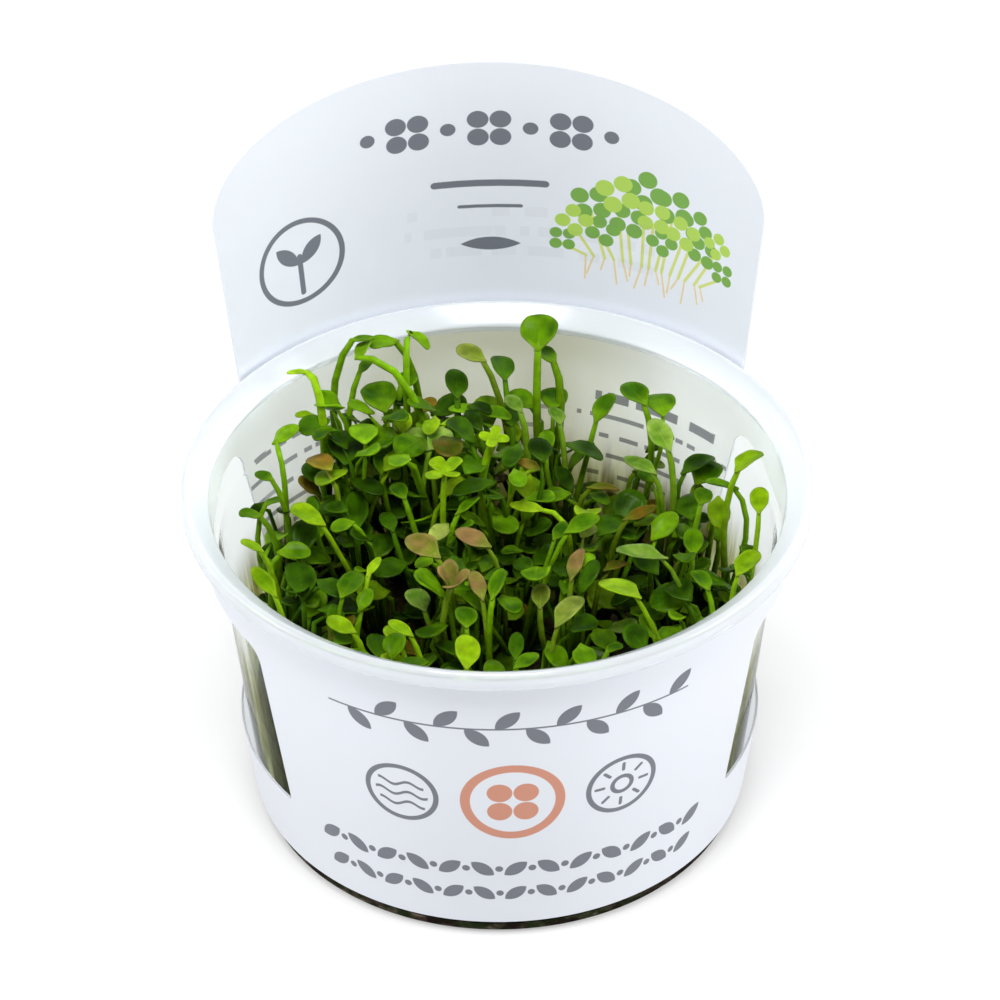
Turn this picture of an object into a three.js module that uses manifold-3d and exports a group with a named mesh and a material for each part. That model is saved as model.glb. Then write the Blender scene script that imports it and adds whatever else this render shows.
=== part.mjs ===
// Dwarf water clover in its culture cup: a clear plastic cup with a flanged rim, a one-piece paper sleeve with
// a tall header card behind the rim, a disc of growth medium, and the clover plantlets that stand on it.
// Millimetres, +Z up. The origin is the centre of the cup's underside, and the sleeve's front panel faces -Y.
import * as THREE from "three";
import { mergeVertices } from "three/addons/utils/BufferGeometryUtils.js";
import Module from "manifold-3d";

const wasm = await Module();
wasm.setup();

// Cup
const CUP_HEIGHT = 61.6;
const RIM_RADIUS = 50;
const RIM_INNER_RADIUS = 45.8;
const RIM_INNER_HEIGHT = 59;
const RIM_WALL_SLOPE = 0.1;
const RIM_EDGE = 1;
const RIM_ROUNDING = 0.5;
const SKIRT_HEIGHT = 3;
const WALL = 0.9;
const FOOT_CHAMFER = 0.8;
const FLOOR = 1.2;
const FLOOR_RADIUS = 39.1;
const LEDGE_RADIUS = 43.8;
const LEDGE_HEIGHT = 50.9;
const LEDGE_STEP = 1.1;
const LEDGE_DROP = 0.7;
const ROUND_SEGMENTS = 32;

// Gap between pieces that touch
const GAP = 0.3;

// Sleeve and header card
const CARD = 0.5;
const SLEEVE_BOTTOM = 2.3;
const SLEEVE_TOP = 56.9;
const SLEEVE_BOTTOM_RADIUS = 40.95;
const SLEEVE_SLOPE = 0.1236;
const SLEEVE_TURN = 3;
const HEADER_HALF_ANGLE = 56.5;
const HEADER_RADIUS = RIM_RADIUS + GAP + CARD;
const HEADER_SLOPE = 0.115;
const HEADER_TOP = 104.1;
const HEADER_ARCH = 13.6;
const HEADER_COLUMNS = 14;
const BODY_COLUMNS = 24;
const BULGE_END_ANGLE = 82;
const WINDOW_BOTTOM = 17;
const WINDOW_TOP = 49.5;
const WINDOW_HALF_TOP = 26.4;
const WINDOW_HALF_BOTTOM = 25;
const WINDOW_CORNER = 3;

// Growth medium
const MEDIUM_TOP = 20;
const MEDIUM_EDGE = 0.6;

// Crowns
const CROWN_RADIUS = 1.9;
const CROWN_TOP_SHARE = 0.92;
const CROWN_THICKNESS = 1.1;
const CROWN_SIDES = 6;

// Stalks: the radii at foot and neck, and how far the curve's handles reach as shares of the stalk's length
const FOOT_SPREAD = 1;
const FOOT_HEIGHT = MEDIUM_TOP + GAP + CROWN_THICKNESS / 2;
const STALK_FOOT_RADIUS = 0.6;
const STALK_NECK_RADIUS = 0.42;
const STALK_SQUEEZE = 0.87;
const STALK_STEPS = 3;
const RISING_HANDLE = 0.4;
const ARRIVING_HANDLE = 0.3;
const ARCH_HANDLE = 0.29;
const ARCH_HEIGHT = 0.1;
const BLADE_PULL = 0.6;
const UPWARD_PULL = 0.9;

// Blades: where the rings stand along the length, and where each kind of leaf is fullest
const FROND_SIDES = 3;
const BLADE_DEPTH = 0.28;
const BLADE_RINGS = [0.3, 0.72, 1];
const BLADE_TIP = 0.99;
const FULLEST = { round: 0.56, oval: 0.5, lance: 0.42, clover: 0.66 };
const LEAFLETS = 4;
const LEAFLET_ROOT = 0.3;
const LEAFLET_LAP = 0.2;
const SMALLEST_DETAIL = 0.05;

// Spacing of fronds, and the points along them at which it is measured
const FROND_SPACING = 1.8;
const WALL_SPACING = 1.3;
const STALK_SAMPLES = 10;
const BLADE_SAMPLES_ALONG = [0.2, 0.5, 0.8, 1];
const BLADE_SAMPLES_ACROSS = [-0.8, 0, 0.8];
const LAST_FULL_SAMPLE = 0.95;

// The smaller fronds that fill up a plantlet: least and most of each measure
const MOST_FRONDS = 3;
const THIRD_FROND_SHARE = 0.45;
const TRIES = 40;
const FILL_REACH = [2, 7.5];
const FILL_HEIGHT = [33, 50];
const FILL_SWERVE = [-80, 80];
const FILL_RISE = [-6, 34];
const FILL_LENGTH = [3.6, 6.2];
const FILL_WIDTH_SHARE = [0.5, 0.85];
const ROUND_FROM_SHARE = 0.7;
const FILL_TONES = { leaf: 0.45, deep: 0.7, lime: 0.88, pale: 0.95, olive: 1 };

// Plantlets
const PLANTLETS_IN_ALL = 55;
const GOLDEN_ANGLE = 137.508;
const SPIRAL_PLACES = 90;
const SPIRAL_RADIUS = 37;
const CROWN_SPACING = 5.5;

const radians = THREE.MathUtils.degToRad;
const UP = new THREE.Vector3(0, 0, 1);

// The inner wall's radius at a height.
function innerWall(z) {
  if (z > LEDGE_HEIGHT) {
    return RIM_INNER_RADIUS - RIM_WALL_SLOPE * Math.max(0, RIM_INNER_HEIGHT - z);
  }
  return FLOOR_RADIUS + ((LEDGE_RADIUS - FLOOR_RADIUS) * (z - FLOOR)) / (LEDGE_HEIGHT - FLOOR);
}

// A repeatable series of numbers between 0 and 1.
let series = 20261;
function chance() {
  series = (series * 16807) % 2147483647;
  return series / 2147483647;
}

// The next number of the series, spread between two limits.
function between([least, most]) {
  return least + (most - least) * chance();
}

// One frond: the kind of blade, where the stalk joins it (the neck), which way the blade points, how far it
// rises, its length and width, and its tone. An arched stalk comes to the neck from above.
function frond(kind, neck, heading, rise, length, width, tone, arched = false) {
  return { kind, neck, heading, rise, length, width, tone, arched };
}

// The fronds that stand out, plantlet by plantlet, from the back left round to the front. Each plantlet's place
// is that of its crown on the medium.
const PLANTLETS = [
  {
    place: [-24, 29],
    fronds: [
      frond("lance", [-24, 34.5, 64], 6, 5, 4, 1.8, "leaf"),
      frond("oval", [-23, 35, 57], 40, 20, 4, 2.4, "leaf"),
    ],
  },
  {
    place: [-8, 27],
    fronds: [
      frond("round", [-23.2, 32.4, 61.8], 50, 25, 3.8, 2.6, "leaf", true),
      frond("round", [-6.5, 30, 55.5], 93, 15, 6, 4, "deep"),
    ],
  },
  {
    place: [-14, 34],
    fronds: [
      frond("round", [-16.5, 37, 62], 195, 8, 4.8, 3.4, "leaf"),
      frond("oval", [-14.5, 37.5, 63.5], -37, -10, 4.6, 2.6, "leaf", true),
      frond("round", [-16, 33, 55.5], 57, 8, 4, 3.4, "leaf"),
      frond("oval", [-13, 32, 51], 46, 8, 4, 2.4, "rust"),
    ],
  },
  {
    place: [-29, 24],
    fronds: [
      frond("lance", [-31, 29, 61.5], 195, 5, 3.6, 1.4, "lime", true),
      frond("lance", [-30.5, 28, 53.5], 190, 5, 3, 1.5, "lime"),
    ],
  },
  {
    place: [-35, 15],
    fronds: [
      frond("oval", [-36.5, 19.5, 54], 35, 18, 5, 2.6, "leaf", true),
      frond("oval", [-36.5, 12, 52], 157, 15, 3.2, 2.2, "leaf"),
    ],
  },
  {
    place: [-36, 2],
    fronds: [
      frond("round", [-38, 3, 51.5], 177, 5, 3.6, 2.6, "leaf"),
      frond("oval", [-37.5, 4.5, 52.5], 26, 15, 3, 1.8, "leaf"),
    ],
  },
  {
    place: [-35, -7],
    fronds: [
      frond("oval", [-37.5, -5, 50.5], 150, 14, 4, 2.2, "lime"),
    ],
  },
  {
    place: [-29, -20],
    fronds: [
      frond("oval", [-35, -15.5, 50], 125, 10, 6.5, 2.6, "lime"),
    ],
  },
  {
    place: [-19, 2],
    fronds: [
      frond("round", [-28, 0, 52], 148, 10, 6, 4, "lime"),
    ],
  },
  {
    place: [-33, -3],
    fronds: [
      frond("oval", [-35, -1.5, 47.5], 0, 0, 5, 3.5, "leaf"),
      frond("round", [-31, -11, 46], 98, 5, 7.5, 5, "deep"),
    ],
  },
  {
    place: [-23, 6],
    fronds: [
      frond("oval", [-23, 8, 45], 92, 8, 8, 3.8, "deep"),
    ],
  },
  {
    place: [-25, 18],
    fronds: [
      frond("round", [-25, 18, 51], 91, 6, 7.5, 6, "deep"),
      frond("round", [-25.5, 16.5, 48.5], 151, 4, 7.5, 5, "deep"),
    ],
  },
  {
    place: [-17, 26],
    fronds: [
      frond("round", [-18.5, 28.5, 54], 108, 8, 7, 6, "leaf"),
      frond("oval", [-23, 26.5, 50], 11, 4, 4.8, 3, "leaf"),
    ],
  },
  {
    place: [-14, 21],
    fronds: [
      frond("round", [-15.5, 23.5, 53], 89, 16, 4.5, 3, "lime"),
      frond("oval", [-19, 17.5, 49], 94, 20, 5, 2.6, "leaf"),
    ],
  },
  {
    place: [-10.5, 17],
    fronds: [
      frond("round", [-11.5, 20, 52], 114, 5, 6, 4, "pale"),
      frond("round", [-11, 19.5, 52.5], 55, 5, 5.5, 3.8, "pale"),
    ],
  },
  {
    place: [-8.5, 8],
    fronds: [
      frond("clover", [-8.5, 9.5, 55], 80, 6, 3.6, 2.6, "lime"),
    ],
  },
  {
    place: [-4, 24],
    fronds: [
      frond("lance", [-9, 27, 52], 15, 2, 5, 2, "lime"),
    ],
  },
  {
    place: [4, 32],
    fronds: [
      frond("oval", [-2, 34, 60], 146, 8, 5.5, 3.2, "olive"),
      frond("round", [1.5, 33, 57], 99, 10, 6, 4, "deep"),
    ],
  },
  {
    place: [3, 25],
    fronds: [
      frond("oval", [2.5, 26, 52.5], 95, 10, 4.5, 3.6, "deep"),
      frond("round", [4, 23.5, 57], 120, 5, 4.5, 2.6, "pale"),
    ],
  },
  {
    place: [8.5, 33],
    fronds: [
      frond("round", [7, 36, 61], 83, 24, 6.4, 6.4, "leaf"),
      frond("round", [9.8, 36, 58], 130, 14, 4.5, 3.6, "leaf"),
      frond("round", [9.5, 32.5, 51], 86, 10, 5.5, 4.6, "leaf"),
    ],
  },
  {
    place: [11.5, 23],
    fronds: [
      frond("oval", [10.5, 25.5, 53], 108, 7, 4, 2.8, "pale"),
      frond("oval", [16.5, 29.5, 50.5], 59, 28, 6.2, 3.2, "leaf"),
    ],
  },
  {
    place: [22, 24],
    fronds: [
      frond("round", [24.5, 26, 56.5], 121, 8, 6, 4.4, "leaf"),
      frond("round", [27.5, 25, 55], 96, 8, 6, 5, "leaf"),
    ],
  },
  {
    place: [26.5, 12.5],
    fronds: [
      frond("oval", [28, 14.5, 55.5], 110, 7, 7.5, 3.8, "pale"),
      frond("oval", [25.5, 11.5, 53], 133, 3, 6.8, 3, "pale"),
    ],
  },
  {
    place: [34, 12],
    fronds: [
      frond("round", [30.5, 15.5, 50], 39, 4, 6.5, 4, "deep"),
      frond("oval", [31.5, 8.5, 46], 93, 6, 6.5, 4.6, "deep"),
    ],
  },
  {
    place: [37, 5],
    fronds: [
      frond("oval", [38.5, 6.5, 57], 42, 10, 5.5, 4.3, "lime"),
      frond("oval", [38.5, 7, 53], 165, 3, 5, 2.6, "leaf"),
    ],
  },
  {
    place: [38, -3],
    fronds: [
      frond("round", [41.5, -2, 55], 85, 16, 5, 3, "lime"),
    ],
  },
  {
    place: [35.5, -13],
    fronds: [
      frond("oval", [37.5, -14, 52], 56, 9, 6, 3.6, "lime"),
    ],
  },
  {
    place: [27, -2],
    fronds: [
      frond("round", [32.5, 3, 53], 72, 12, 3.6, 3, "leaf"),
      frond("round", [31, -5, 49], 86, 17, 5, 3.2, "leaf"),
    ],
  },
  {
    place: [34, -16],
    fronds: [
      frond("oval", [26, -11, 53], 170, 4, 7.6, 4.2, "pale"),
    ],
  },
  {
    place: [30.5, -22],
    fronds: [
      frond("round", [21.5, -22, 54], 142, 8, 6.8, 5.4, "lime"),
    ],
  },
  {
    place: [3, -5],
    fronds: [
      frond("oval", [11, -1.5, 51], 28, 8, 6, 3.4, "leaf"),
      frond("oval", [9, 0, 48.5], 63, 4, 4.5, 2.2, "leaf"),
    ],
  },
  {
    place: [11, -12],
    fronds: [
      frond("oval", [11.5, -11, 49], 76, 12, 6.8, 2.6, "blush"),
      frond("round", [6.5, -15, 46.5], 85, 13, 4.4, 3, "olive"),
    ],
  },
  {
    place: [6, -25],
    fronds: [
      frond("oval", [9, -25, 51], 59, 11, 7.4, 3.6, "olive"),
    ],
  },
  {
    place: [12, 4],
    fronds: [
      frond("oval", [7.5, 7, 49], 157, -6, 6, 2.2, "lime", true),
    ],
  },
  {
    place: [1, 11],
    fronds: [
      frond("lance", [7, 14, 52], 148, 5, 4.5, 1.8, "rust", true),
    ],
  },
  {
    place: [13, 13],
    fronds: [
      frond("lance", [15, 13, 49], 5, 0, 5, 2.2, "rust"),
    ],
  },
  {
    place: [17, 4],
    fronds: [
      frond("lance", [20.5, 3, 50], 31, 2, 6, 2, "rust"),
    ],
  },
  {
    place: [-5, -12],
    fronds: [
      frond("oval", [-9.5, -10, 53], 141, 9, 6.4, 4.2, "blush"),
    ],
  },
  {
    place: [2, -9],
    fronds: [
      frond("oval", [-1.5, -7.5, 53], 150, 8, 6, 3.4, "blush"),
    ],
  },
  {
    place: [-8, -16],
    fronds: [
      frond("clover", [-7.5, -15.5, 51], 45, 8, 4.4, 2.6, "blush"),
    ],
  },
  {
    place: [-1, -18],
    fronds: [
      frond("oval", [-2.5, -17, 50], 105, 17, 6, 2.6, "blush"),
      frond("oval", [-1, -17.5, 50.5], 72, 17, 5.6, 2.6, "leaf"),
    ],
  },
  {
    place: [-2.5, 16],
    fronds: [
      frond("clover", [-0.5, 17, 56], 30, 10, 2.6, 1.8, "lime"),
    ],
  },
  {
    place: [-10, 4],
    fronds: [
      frond("round", [-15, 8, 51], 120, 8, 3.8, 2.8, "leaf"),
      frond("oval", [-17, 6, 46], 109, 6, 5, 2.8, "deep"),
    ],
  },
  {
    place: [-7, 1],
    fronds: [
      frond("lance", [-6.5, 3, 51.5], 40, 10, 4.8, 2.2, "leaf"),
    ],
  },
  {
    place: [-24, -17],
    fronds: [
      frond("oval", [-24.5, -16, 50], 64, 9, 6, 4, "leaf"),
      frond("lance", [-20.5, -12, 51], 65, 7, 4.4, 1.6, "lime"),
    ],
  },
  {
    place: [-19, -24],
    fronds: [
      frond("oval", [-22.5, -22.5, 48], 148, 4, 5, 2.8, "lime"),
    ],
  },
  {
    place: [-10, -27],
    fronds: [
      frond("oval", [-13.5, -26, 50], 140, 7, 4.6, 2.4, "lime"),
    ],
  },
  {
    place: [-14, -33.5],
    fronds: [
      frond("oval", [-16, -32.5, 49], 25, 3, 5.5, 3, "leaf"),
    ],
  },
  {
    place: [-3, -34.5],
    fronds: [
      frond("round", [-5, -35, 51], 90, 14, 5.8, 4, "lime"),
    ],
  },
  {
    place: [-4, -23.5],
    fronds: [
      frond("round", [-5, -24, 50], 94, 13, 4, 3.6, "leaf"),
    ],
  },
  {
    place: [4, -34],
    fronds: [
      frond("oval", [2.5, -34, 50], 42, 6, 4.6, 2.6, "leaf"),
      frond("oval", [2.5, -27.5, 46.5], 86, 11, 5, 2.4, "deep"),
    ],
  },
  {
    place: [18, -31],
    fronds: [
      frond("round", [16.5, -30.5, 50], 39, 6, 3, 2.2, "leaf"),
    ],
  },
];

// The blade's half width along its length, as a share of half its full width, for each kind of leaf.
function bladeShare(kind, t) {
  const fullest = FULLEST[kind];
  const s = t < fullest ? t / fullest : (1 - t) / (1 - fullest);
  return Math.sqrt(s * (2 - s));
}

// The direction that a blade points in.
function bladeDirection(heading, rise) {
  const flat = Math.cos(radians(rise));
  return new THREE.Vector3(
    flat * Math.cos(radians(heading)),
    flat * Math.sin(radians(heading)),
    Math.sin(radians(rise)),
  );
}

// A stalk's foot on its plantlet's crown: the feet share out the circle, and the first is under its own neck.
function footOf(plantlet, i) {
  const [x, y] = plantlet.place;
  const first = plantlet.fronds[0].neck;
  const feet = Math.max(MOST_FRONDS, plantlet.fronds.length);
  const turn = Math.atan2(first[1] - y, first[0] - x) + (i * 2 * Math.PI) / feet;
  return new THREE.Vector3(x + FOOT_SPREAD * Math.cos(turn), y + FOOT_SPREAD * Math.sin(turn), FOOT_HEIGHT);
}

// The stalk's centre line, from its foot to the neck.
function stalkCurve(plantlet, i) {
  const f = plantlet.fronds[i];
  const foot = footOf(plantlet, i);
  const neck = new THREE.Vector3(...f.neck);
  const reach = foot.distanceTo(neck);
  const arrive = bladeDirection(f.heading, f.rise).multiplyScalar(BLADE_PULL);
  arrive.addScaledVector(UP, UPWARD_PULL).normalize();
  const low = foot.clone().addScaledVector(UP, RISING_HANDLE * reach);
  const high = neck.clone().addScaledVector(arrive, -ARRIVING_HANDLE * reach);
  if (f.arched) {
    const out = neck.clone().sub(foot).setZ(0).normalize();
    high.copy(neck).addScaledVector(out, -ARCH_HANDLE * reach);
    high.z = neck.z + ARCH_HEIGHT * reach;
  }
  return new THREE.CubicBezierCurve3(foot, low, high, neck);
}

// Points along a frond, to keep the fronds of different plantlets apart.
function frondSamples(plantlet, i) {
  const f = plantlet.fronds[i];
  const samples = [];
  const curve = stalkCurve(plantlet, i);
  for (let step = 0; step <= STALK_SAMPLES; step++) {
    samples.push(curve.getPoint(step / STALK_SAMPLES));
  }
  const blade = bladeDirection(f.heading, f.rise);
  const side = new THREE.Vector3().crossVectors(UP, blade).normalize();
  const neck = new THREE.Vector3(...f.neck);
  const crosswise = f.kind === "clover";
  for (const along of BLADE_SAMPLES_ALONG) {
    const ahead = crosswise ? 2 * along - 1 : along;
    const share = bladeShare(f.kind, Math.min(along, LAST_FULL_SAMPLE));
    const halfWidth = crosswise ? 0.8 * f.length : (f.width / 2) * share;
    const middle = neck.clone().addScaledVector(blade, ahead * f.length);
    for (const across of BLADE_SAMPLES_ACROSS) {
      samples.push(middle.clone().addScaledVector(side, across * halfWidth));
    }
  }
  return samples;
}

// Notes down a plantlet's frond as standing, so that later ones keep clear of it.
const standing = [];
function stand(plantlet, i) {
  const samples = frondSamples(plantlet, i);
  standing.push({ plantlet, samples, box: new THREE.Box3().setFromPoints(samples) });
}

// True where a plantlet's frond keeps clear of the cup's wall and of the other plantlets' fronds.
function isClear(plantlet, i) {
  const samples = frondSamples(plantlet, i);
  if (!samples.every((p) => Math.hypot(p.x, p.y) < innerWall(p.z) - WALL_SPACING)) {
    return false;
  }
  const box = new THREE.Box3().setFromPoints(samples).expandByScalar(FROND_SPACING);
  const near = standing.filter((other) => other.plantlet !== plantlet && other.box.intersectsBox(box));
  return near.every((other) => {
    return samples.every((p) => other.samples.every((q) => p.distanceTo(q) >= FROND_SPACING));
  });
}

// Adds smaller fronds to a plantlet where there is room, until it has two or three.
function fill(plantlet) {
  const [x, y] = plantlet.place;
  const wanted = chance() < THIRD_FROND_SHARE ? MOST_FRONDS : MOST_FRONDS - 1;
  for (let attempt = 0; attempt < TRIES && plantlet.fronds.length < wanted; attempt++) {
    const turn = between([0, 360]);
    const reach = between(FILL_REACH);
    const height = between(FILL_HEIGHT);
    const heading = turn + between(FILL_SWERVE);
    const rise = between(FILL_RISE);
    const length = between(FILL_LENGTH);
    const width = length * between(FILL_WIDTH_SHARE);
    const tone = toneFor(chance());
    const neck = [x + reach * Math.cos(radians(turn)), y + reach * Math.sin(radians(turn)), height];
    const kind = width > ROUND_FROM_SHARE * length ? "round" : "oval";
    plantlet.fronds.push(frond(kind, neck, heading, rise, length, width, tone));
    const last = plantlet.fronds.length - 1;
    if (isClear(plantlet, last)) {
      stand(plantlet, last);
    } else {
      plantlet.fronds.pop();
    }
  }
}

// The tone of a smaller frond, from a number between 0 and 1.
function toneFor(number) {
  return Object.keys(FILL_TONES).find((tone) => number <= FILL_TONES[tone]);
}

// All the plantlets: those above filled up with smaller fronds, then more of them where the medium is bare.
function allPlantlets() {
  const plantlets = PLANTLETS.map(({ place, fronds }) => ({ place, fronds: [...fronds] }));
  plantlets.forEach((plantlet) => plantlet.fronds.forEach((f, i) => stand(plantlet, i)));
  plantlets.forEach((plantlet) => fill(plantlet));
  for (let i = 0; i < SPIRAL_PLACES && plantlets.length < PLANTLETS_IN_ALL; i++) {
    const r = SPIRAL_RADIUS * Math.sqrt((i + 0.5) / SPIRAL_PLACES);
    const place = [r * Math.cos(radians(i * GOLDEN_ANGLE)), r * Math.sin(radians(i * GOLDEN_ANGLE))];
    const taken = plantlets.some((other) => {
      return Math.hypot(other.place[0] - place[0], other.place[1] - place[1]) < CROWN_SPACING;
    });
    const plantlet = { place, fronds: [] };
    if (!taken) {
      fill(plantlet);
    }
    if (plantlet.fronds.length) {
      plantlets.push(plantlet);
    }
  }
  return plantlets;
}

// A closed geometry as a solid that can be joined and cut.
function toSolid(geometry) {
  const bare = geometry.clone();
  bare.deleteAttribute("normal");
  bare.deleteAttribute("uv");
  const merged = mergeVertices(bare, 1e-4);
  return new wasm.Manifold(
    new wasm.Mesh({
      numProp: 3,
      vertProperties: new Float32Array(merged.attributes.position.array),
      triVerts: new Uint32Array(merged.index.array),
    }),
  );
}

// A solid back as a geometry.
function toGeometry(solid) {
  const mesh = solid.getMesh();
  const geometry = new THREE.BufferGeometry();
  geometry.setAttribute("position", new THREE.BufferAttribute(mesh.vertProperties, 3));
  geometry.setIndex(new THREE.BufferAttribute(mesh.triVerts, 1));
  geometry.computeVertexNormals();
  return geometry;
}

// A three-edged tube whose rings follow a frond's stalk, and then widen into a thin keeled blade with a point.
function ringedSolid(rings) {
  const steps = rings.length - 1;
  const geometry = new THREE.CylinderGeometry(0, 1, 1, FROND_SIDES, steps);
  const edge = Math.cos(Math.PI / 6);
  const position = geometry.attributes.position;
  for (let i = 0; i < position.count; i++) {
    const ring = rings[Math.round((position.getY(i) + 0.5) * steps)];
    const turn = new THREE.Vector2(position.getX(i), position.getZ(i));
    if (turn.length() > 1e-6) {
      turn.normalize();
    }
    const down = new THREE.Vector3().crossVectors(ring.side, ring.along);
    const p = ring.centre.clone().addScaledVector(ring.side, (turn.x / edge) * ring.halfWidth);
    p.addScaledVector(down, turn.y * ring.depth);
    position.setXYZ(i, p.x, p.y, p.z);
  }
  return toSolid(geometry);
}

// The rings of a stalk, turned so that they end square to the blade.
function stalkRings(plantlet, i) {
  const f = plantlet.fronds[i];
  const bladeSide = new THREE.Vector3().crossVectors(UP, bladeDirection(f.heading, f.rise)).normalize();
  const curve = stalkCurve(plantlet, i);
  const rings = [];
  for (let step = 0; step <= STALK_STEPS; step++) {
    const u = step / STALK_STEPS;
    const along = curve.getTangent(u);
    const down = new THREE.Vector3().crossVectors(bladeSide, along).normalize();
    const radius = THREE.MathUtils.lerp(STALK_FOOT_RADIUS, STALK_NECK_RADIUS, u);
    const side = new THREE.Vector3().crossVectors(along, down);
    const halfWidth = STALK_SQUEEZE * radius;
    rings.push({ centre: curve.getPoint(u), along, side, halfWidth, depth: radius });
  }
  return rings;
}

// The rings of a blade from just past its neck to its point.
function bladeRings(kind, neck, heading, rise, length, width) {
  const along = bladeDirection(heading, rise);
  const side = new THREE.Vector3().crossVectors(UP, along).normalize();
  return BLADE_RINGS.map((t) => ({
    centre: new THREE.Vector3(...neck).addScaledVector(along, t * length),
    along,
    side,
    halfWidth: (width / 2) * bladeShare(kind, Math.min(t, BLADE_TIP)),
    depth: BLADE_DEPTH,
  }));
}

// A whole frond. A clover blade has four leaflets set crosswise, and every other kind has one blade.
function frondSolid(plantlet, i) {
  const f = plantlet.fronds[i];
  const stalk = stalkRings(plantlet, i);
  if (f.kind !== "clover") {
    return ringedSolid([...stalk, ...bladeRings(f.kind, f.neck, f.heading, f.rise, f.length, f.width)]);
  }
  const end = stalk[stalk.length - 1];
  const tip = { ...end, centre: end.centre.clone().addScaledVector(end.along, LEAFLET_ROOT) };
  let whole = ringedSolid([...stalk, tip]);
  for (let leaflet = 0; leaflet < LEAFLETS; leaflet++) {
    const heading = f.heading + (360 / LEAFLETS) * (leaflet + 0.5);
    const rings = bladeRings("clover", f.neck, heading, f.rise, f.length, f.width).slice(1);
    const root = new THREE.Vector3(...f.neck).addScaledVector(rings[0].along, -LEAFLET_LAP);
    const start = { ...rings[0], centre: root, halfWidth: LEAFLET_ROOT };
    whole = whole.add(ringedSolid([start, ...rings]));
  }
  return whole;
}

// A plantlet: its crown, a small flat knot of rootstock on the medium, and the fronds that rise from it.
function plantletGeometry(plantlet) {
  const topRadius = CROWN_TOP_SHARE * CROWN_RADIUS;
  const crown = new THREE.CylinderGeometry(topRadius, CROWN_RADIUS, CROWN_THICKNESS, CROWN_SIDES);
  crown.rotateX(Math.PI / 2);
  crown.translate(plantlet.place[0], plantlet.place[1], MEDIUM_TOP + GAP + CROWN_THICKNESS / 2);
  let whole = toSolid(crown);
  plantlet.fronds.forEach((f, i) => {
    whole = whole.add(frondSolid(plantlet, i));
  });
  return toGeometry(whole.simplify(SMALLEST_DETAIL));
}

// A turned solid from its profile, listed from the axis outwards and back, as [radius, height].
function turned(profile) {
  const points = profile.map(([r, z]) => new THREE.Vector2(r, z));
  const lathe = new THREE.LatheGeometry(points, ROUND_SEGMENTS);
  lathe.rotateX(Math.PI / 2);
  return toSolid(lathe);
}

// The cup: a tapering wall with a stacking ledge, and a rim that slopes in from a rolled edge with a skirt.
function cupGeometry() {
  const outerWallBottom = FLOOR_RADIUS + WALL;
  const ledgeOut = LEDGE_RADIUS + WALL;
  const skirtInside = RIM_RADIUS - RIM_EDGE;
  const skirtBottom = CUP_HEIGHT - SKIRT_HEIGHT;
  return toGeometry(
    turned([
      [0, 0],
      [outerWallBottom - FOOT_CHAMFER, 0],
      [outerWallBottom, FOOT_CHAMFER],
      [ledgeOut, LEDGE_HEIGHT - LEDGE_DROP],
      [ledgeOut + LEDGE_STEP, LEDGE_HEIGHT],
      [RIM_INNER_RADIUS + WALL, RIM_INNER_HEIGHT - 2 * WALL],
      [skirtInside, CUP_HEIGHT - 1.5 * WALL],
      [skirtInside, skirtBottom],
      [RIM_RADIUS, skirtBottom],
      [RIM_RADIUS, CUP_HEIGHT - RIM_ROUNDING],
      [RIM_RADIUS - RIM_ROUNDING, CUP_HEIGHT],
      [skirtInside, CUP_HEIGHT],
      [RIM_INNER_RADIUS + RIM_ROUNDING, RIM_INNER_HEIGHT + RIM_ROUNDING],
      [RIM_INNER_RADIUS, RIM_INNER_HEIGHT],
      [LEDGE_RADIUS + LEDGE_STEP, LEDGE_HEIGHT + LEDGE_DROP],
      [LEDGE_RADIUS, LEDGE_HEIGHT],
      [FLOOR_RADIUS, FLOOR],
      [0, FLOOR],
    ]),
  );
}

// The medium: a disc of root-bound gel that fills the foot of the cup.
function mediumGeometry() {
  const bottom = FLOOR + GAP;
  const shoulder = MEDIUM_TOP - MEDIUM_EDGE;
  return toGeometry(
    turned([
      [0, bottom],
      [innerWall(bottom) - GAP, bottom],
      [innerWall(shoulder) - GAP, shoulder],
      [innerWall(MEDIUM_TOP) - GAP - MEDIUM_EDGE, MEDIUM_TOP],
      [0, MEDIUM_TOP],
    ]),
  );
}

// How far a point of the sleeve stands off its cone, as a share: fully behind the header, not at the front.
function bulge(fromBack) {
  const inside = (BULGE_END_ANGLE - Math.abs(fromBack)) / (BULGE_END_ANGLE - HEADER_HALF_ANGLE);
  const t = THREE.MathUtils.clamp(inside, 0, 1);
  return t * t * (3 - 2 * t);
}

// The sleeve's outer radius below the rim. Its back panel leans out far enough to pass outside the rim.
function sleeveRadius(fromBack, z) {
  const hugging = SLEEVE_BOTTOM_RADIUS + SLEEVE_SLOPE * (z - SLEEVE_BOTTOM);
  const huggingTop = SLEEVE_BOTTOM_RADIUS + SLEEVE_SLOPE * (SLEEVE_TOP - SLEEVE_BOTTOM);
  const standOff = HEADER_RADIUS - huggingTop;
  return hugging + (bulge(fromBack) * standOff * (z - SLEEVE_BOTTOM)) / (SLEEVE_TOP - SLEEVE_BOTTOM);
}

// The header's top edge: a flat arch that ends square on the card's two sides.
function headerTop(fromBack) {
  const share = fromBack / HEADER_HALF_ANGLE;
  return HEADER_TOP - HEADER_ARCH * (1 - Math.sqrt(Math.max(0, 1 - share * share)));
}

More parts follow.
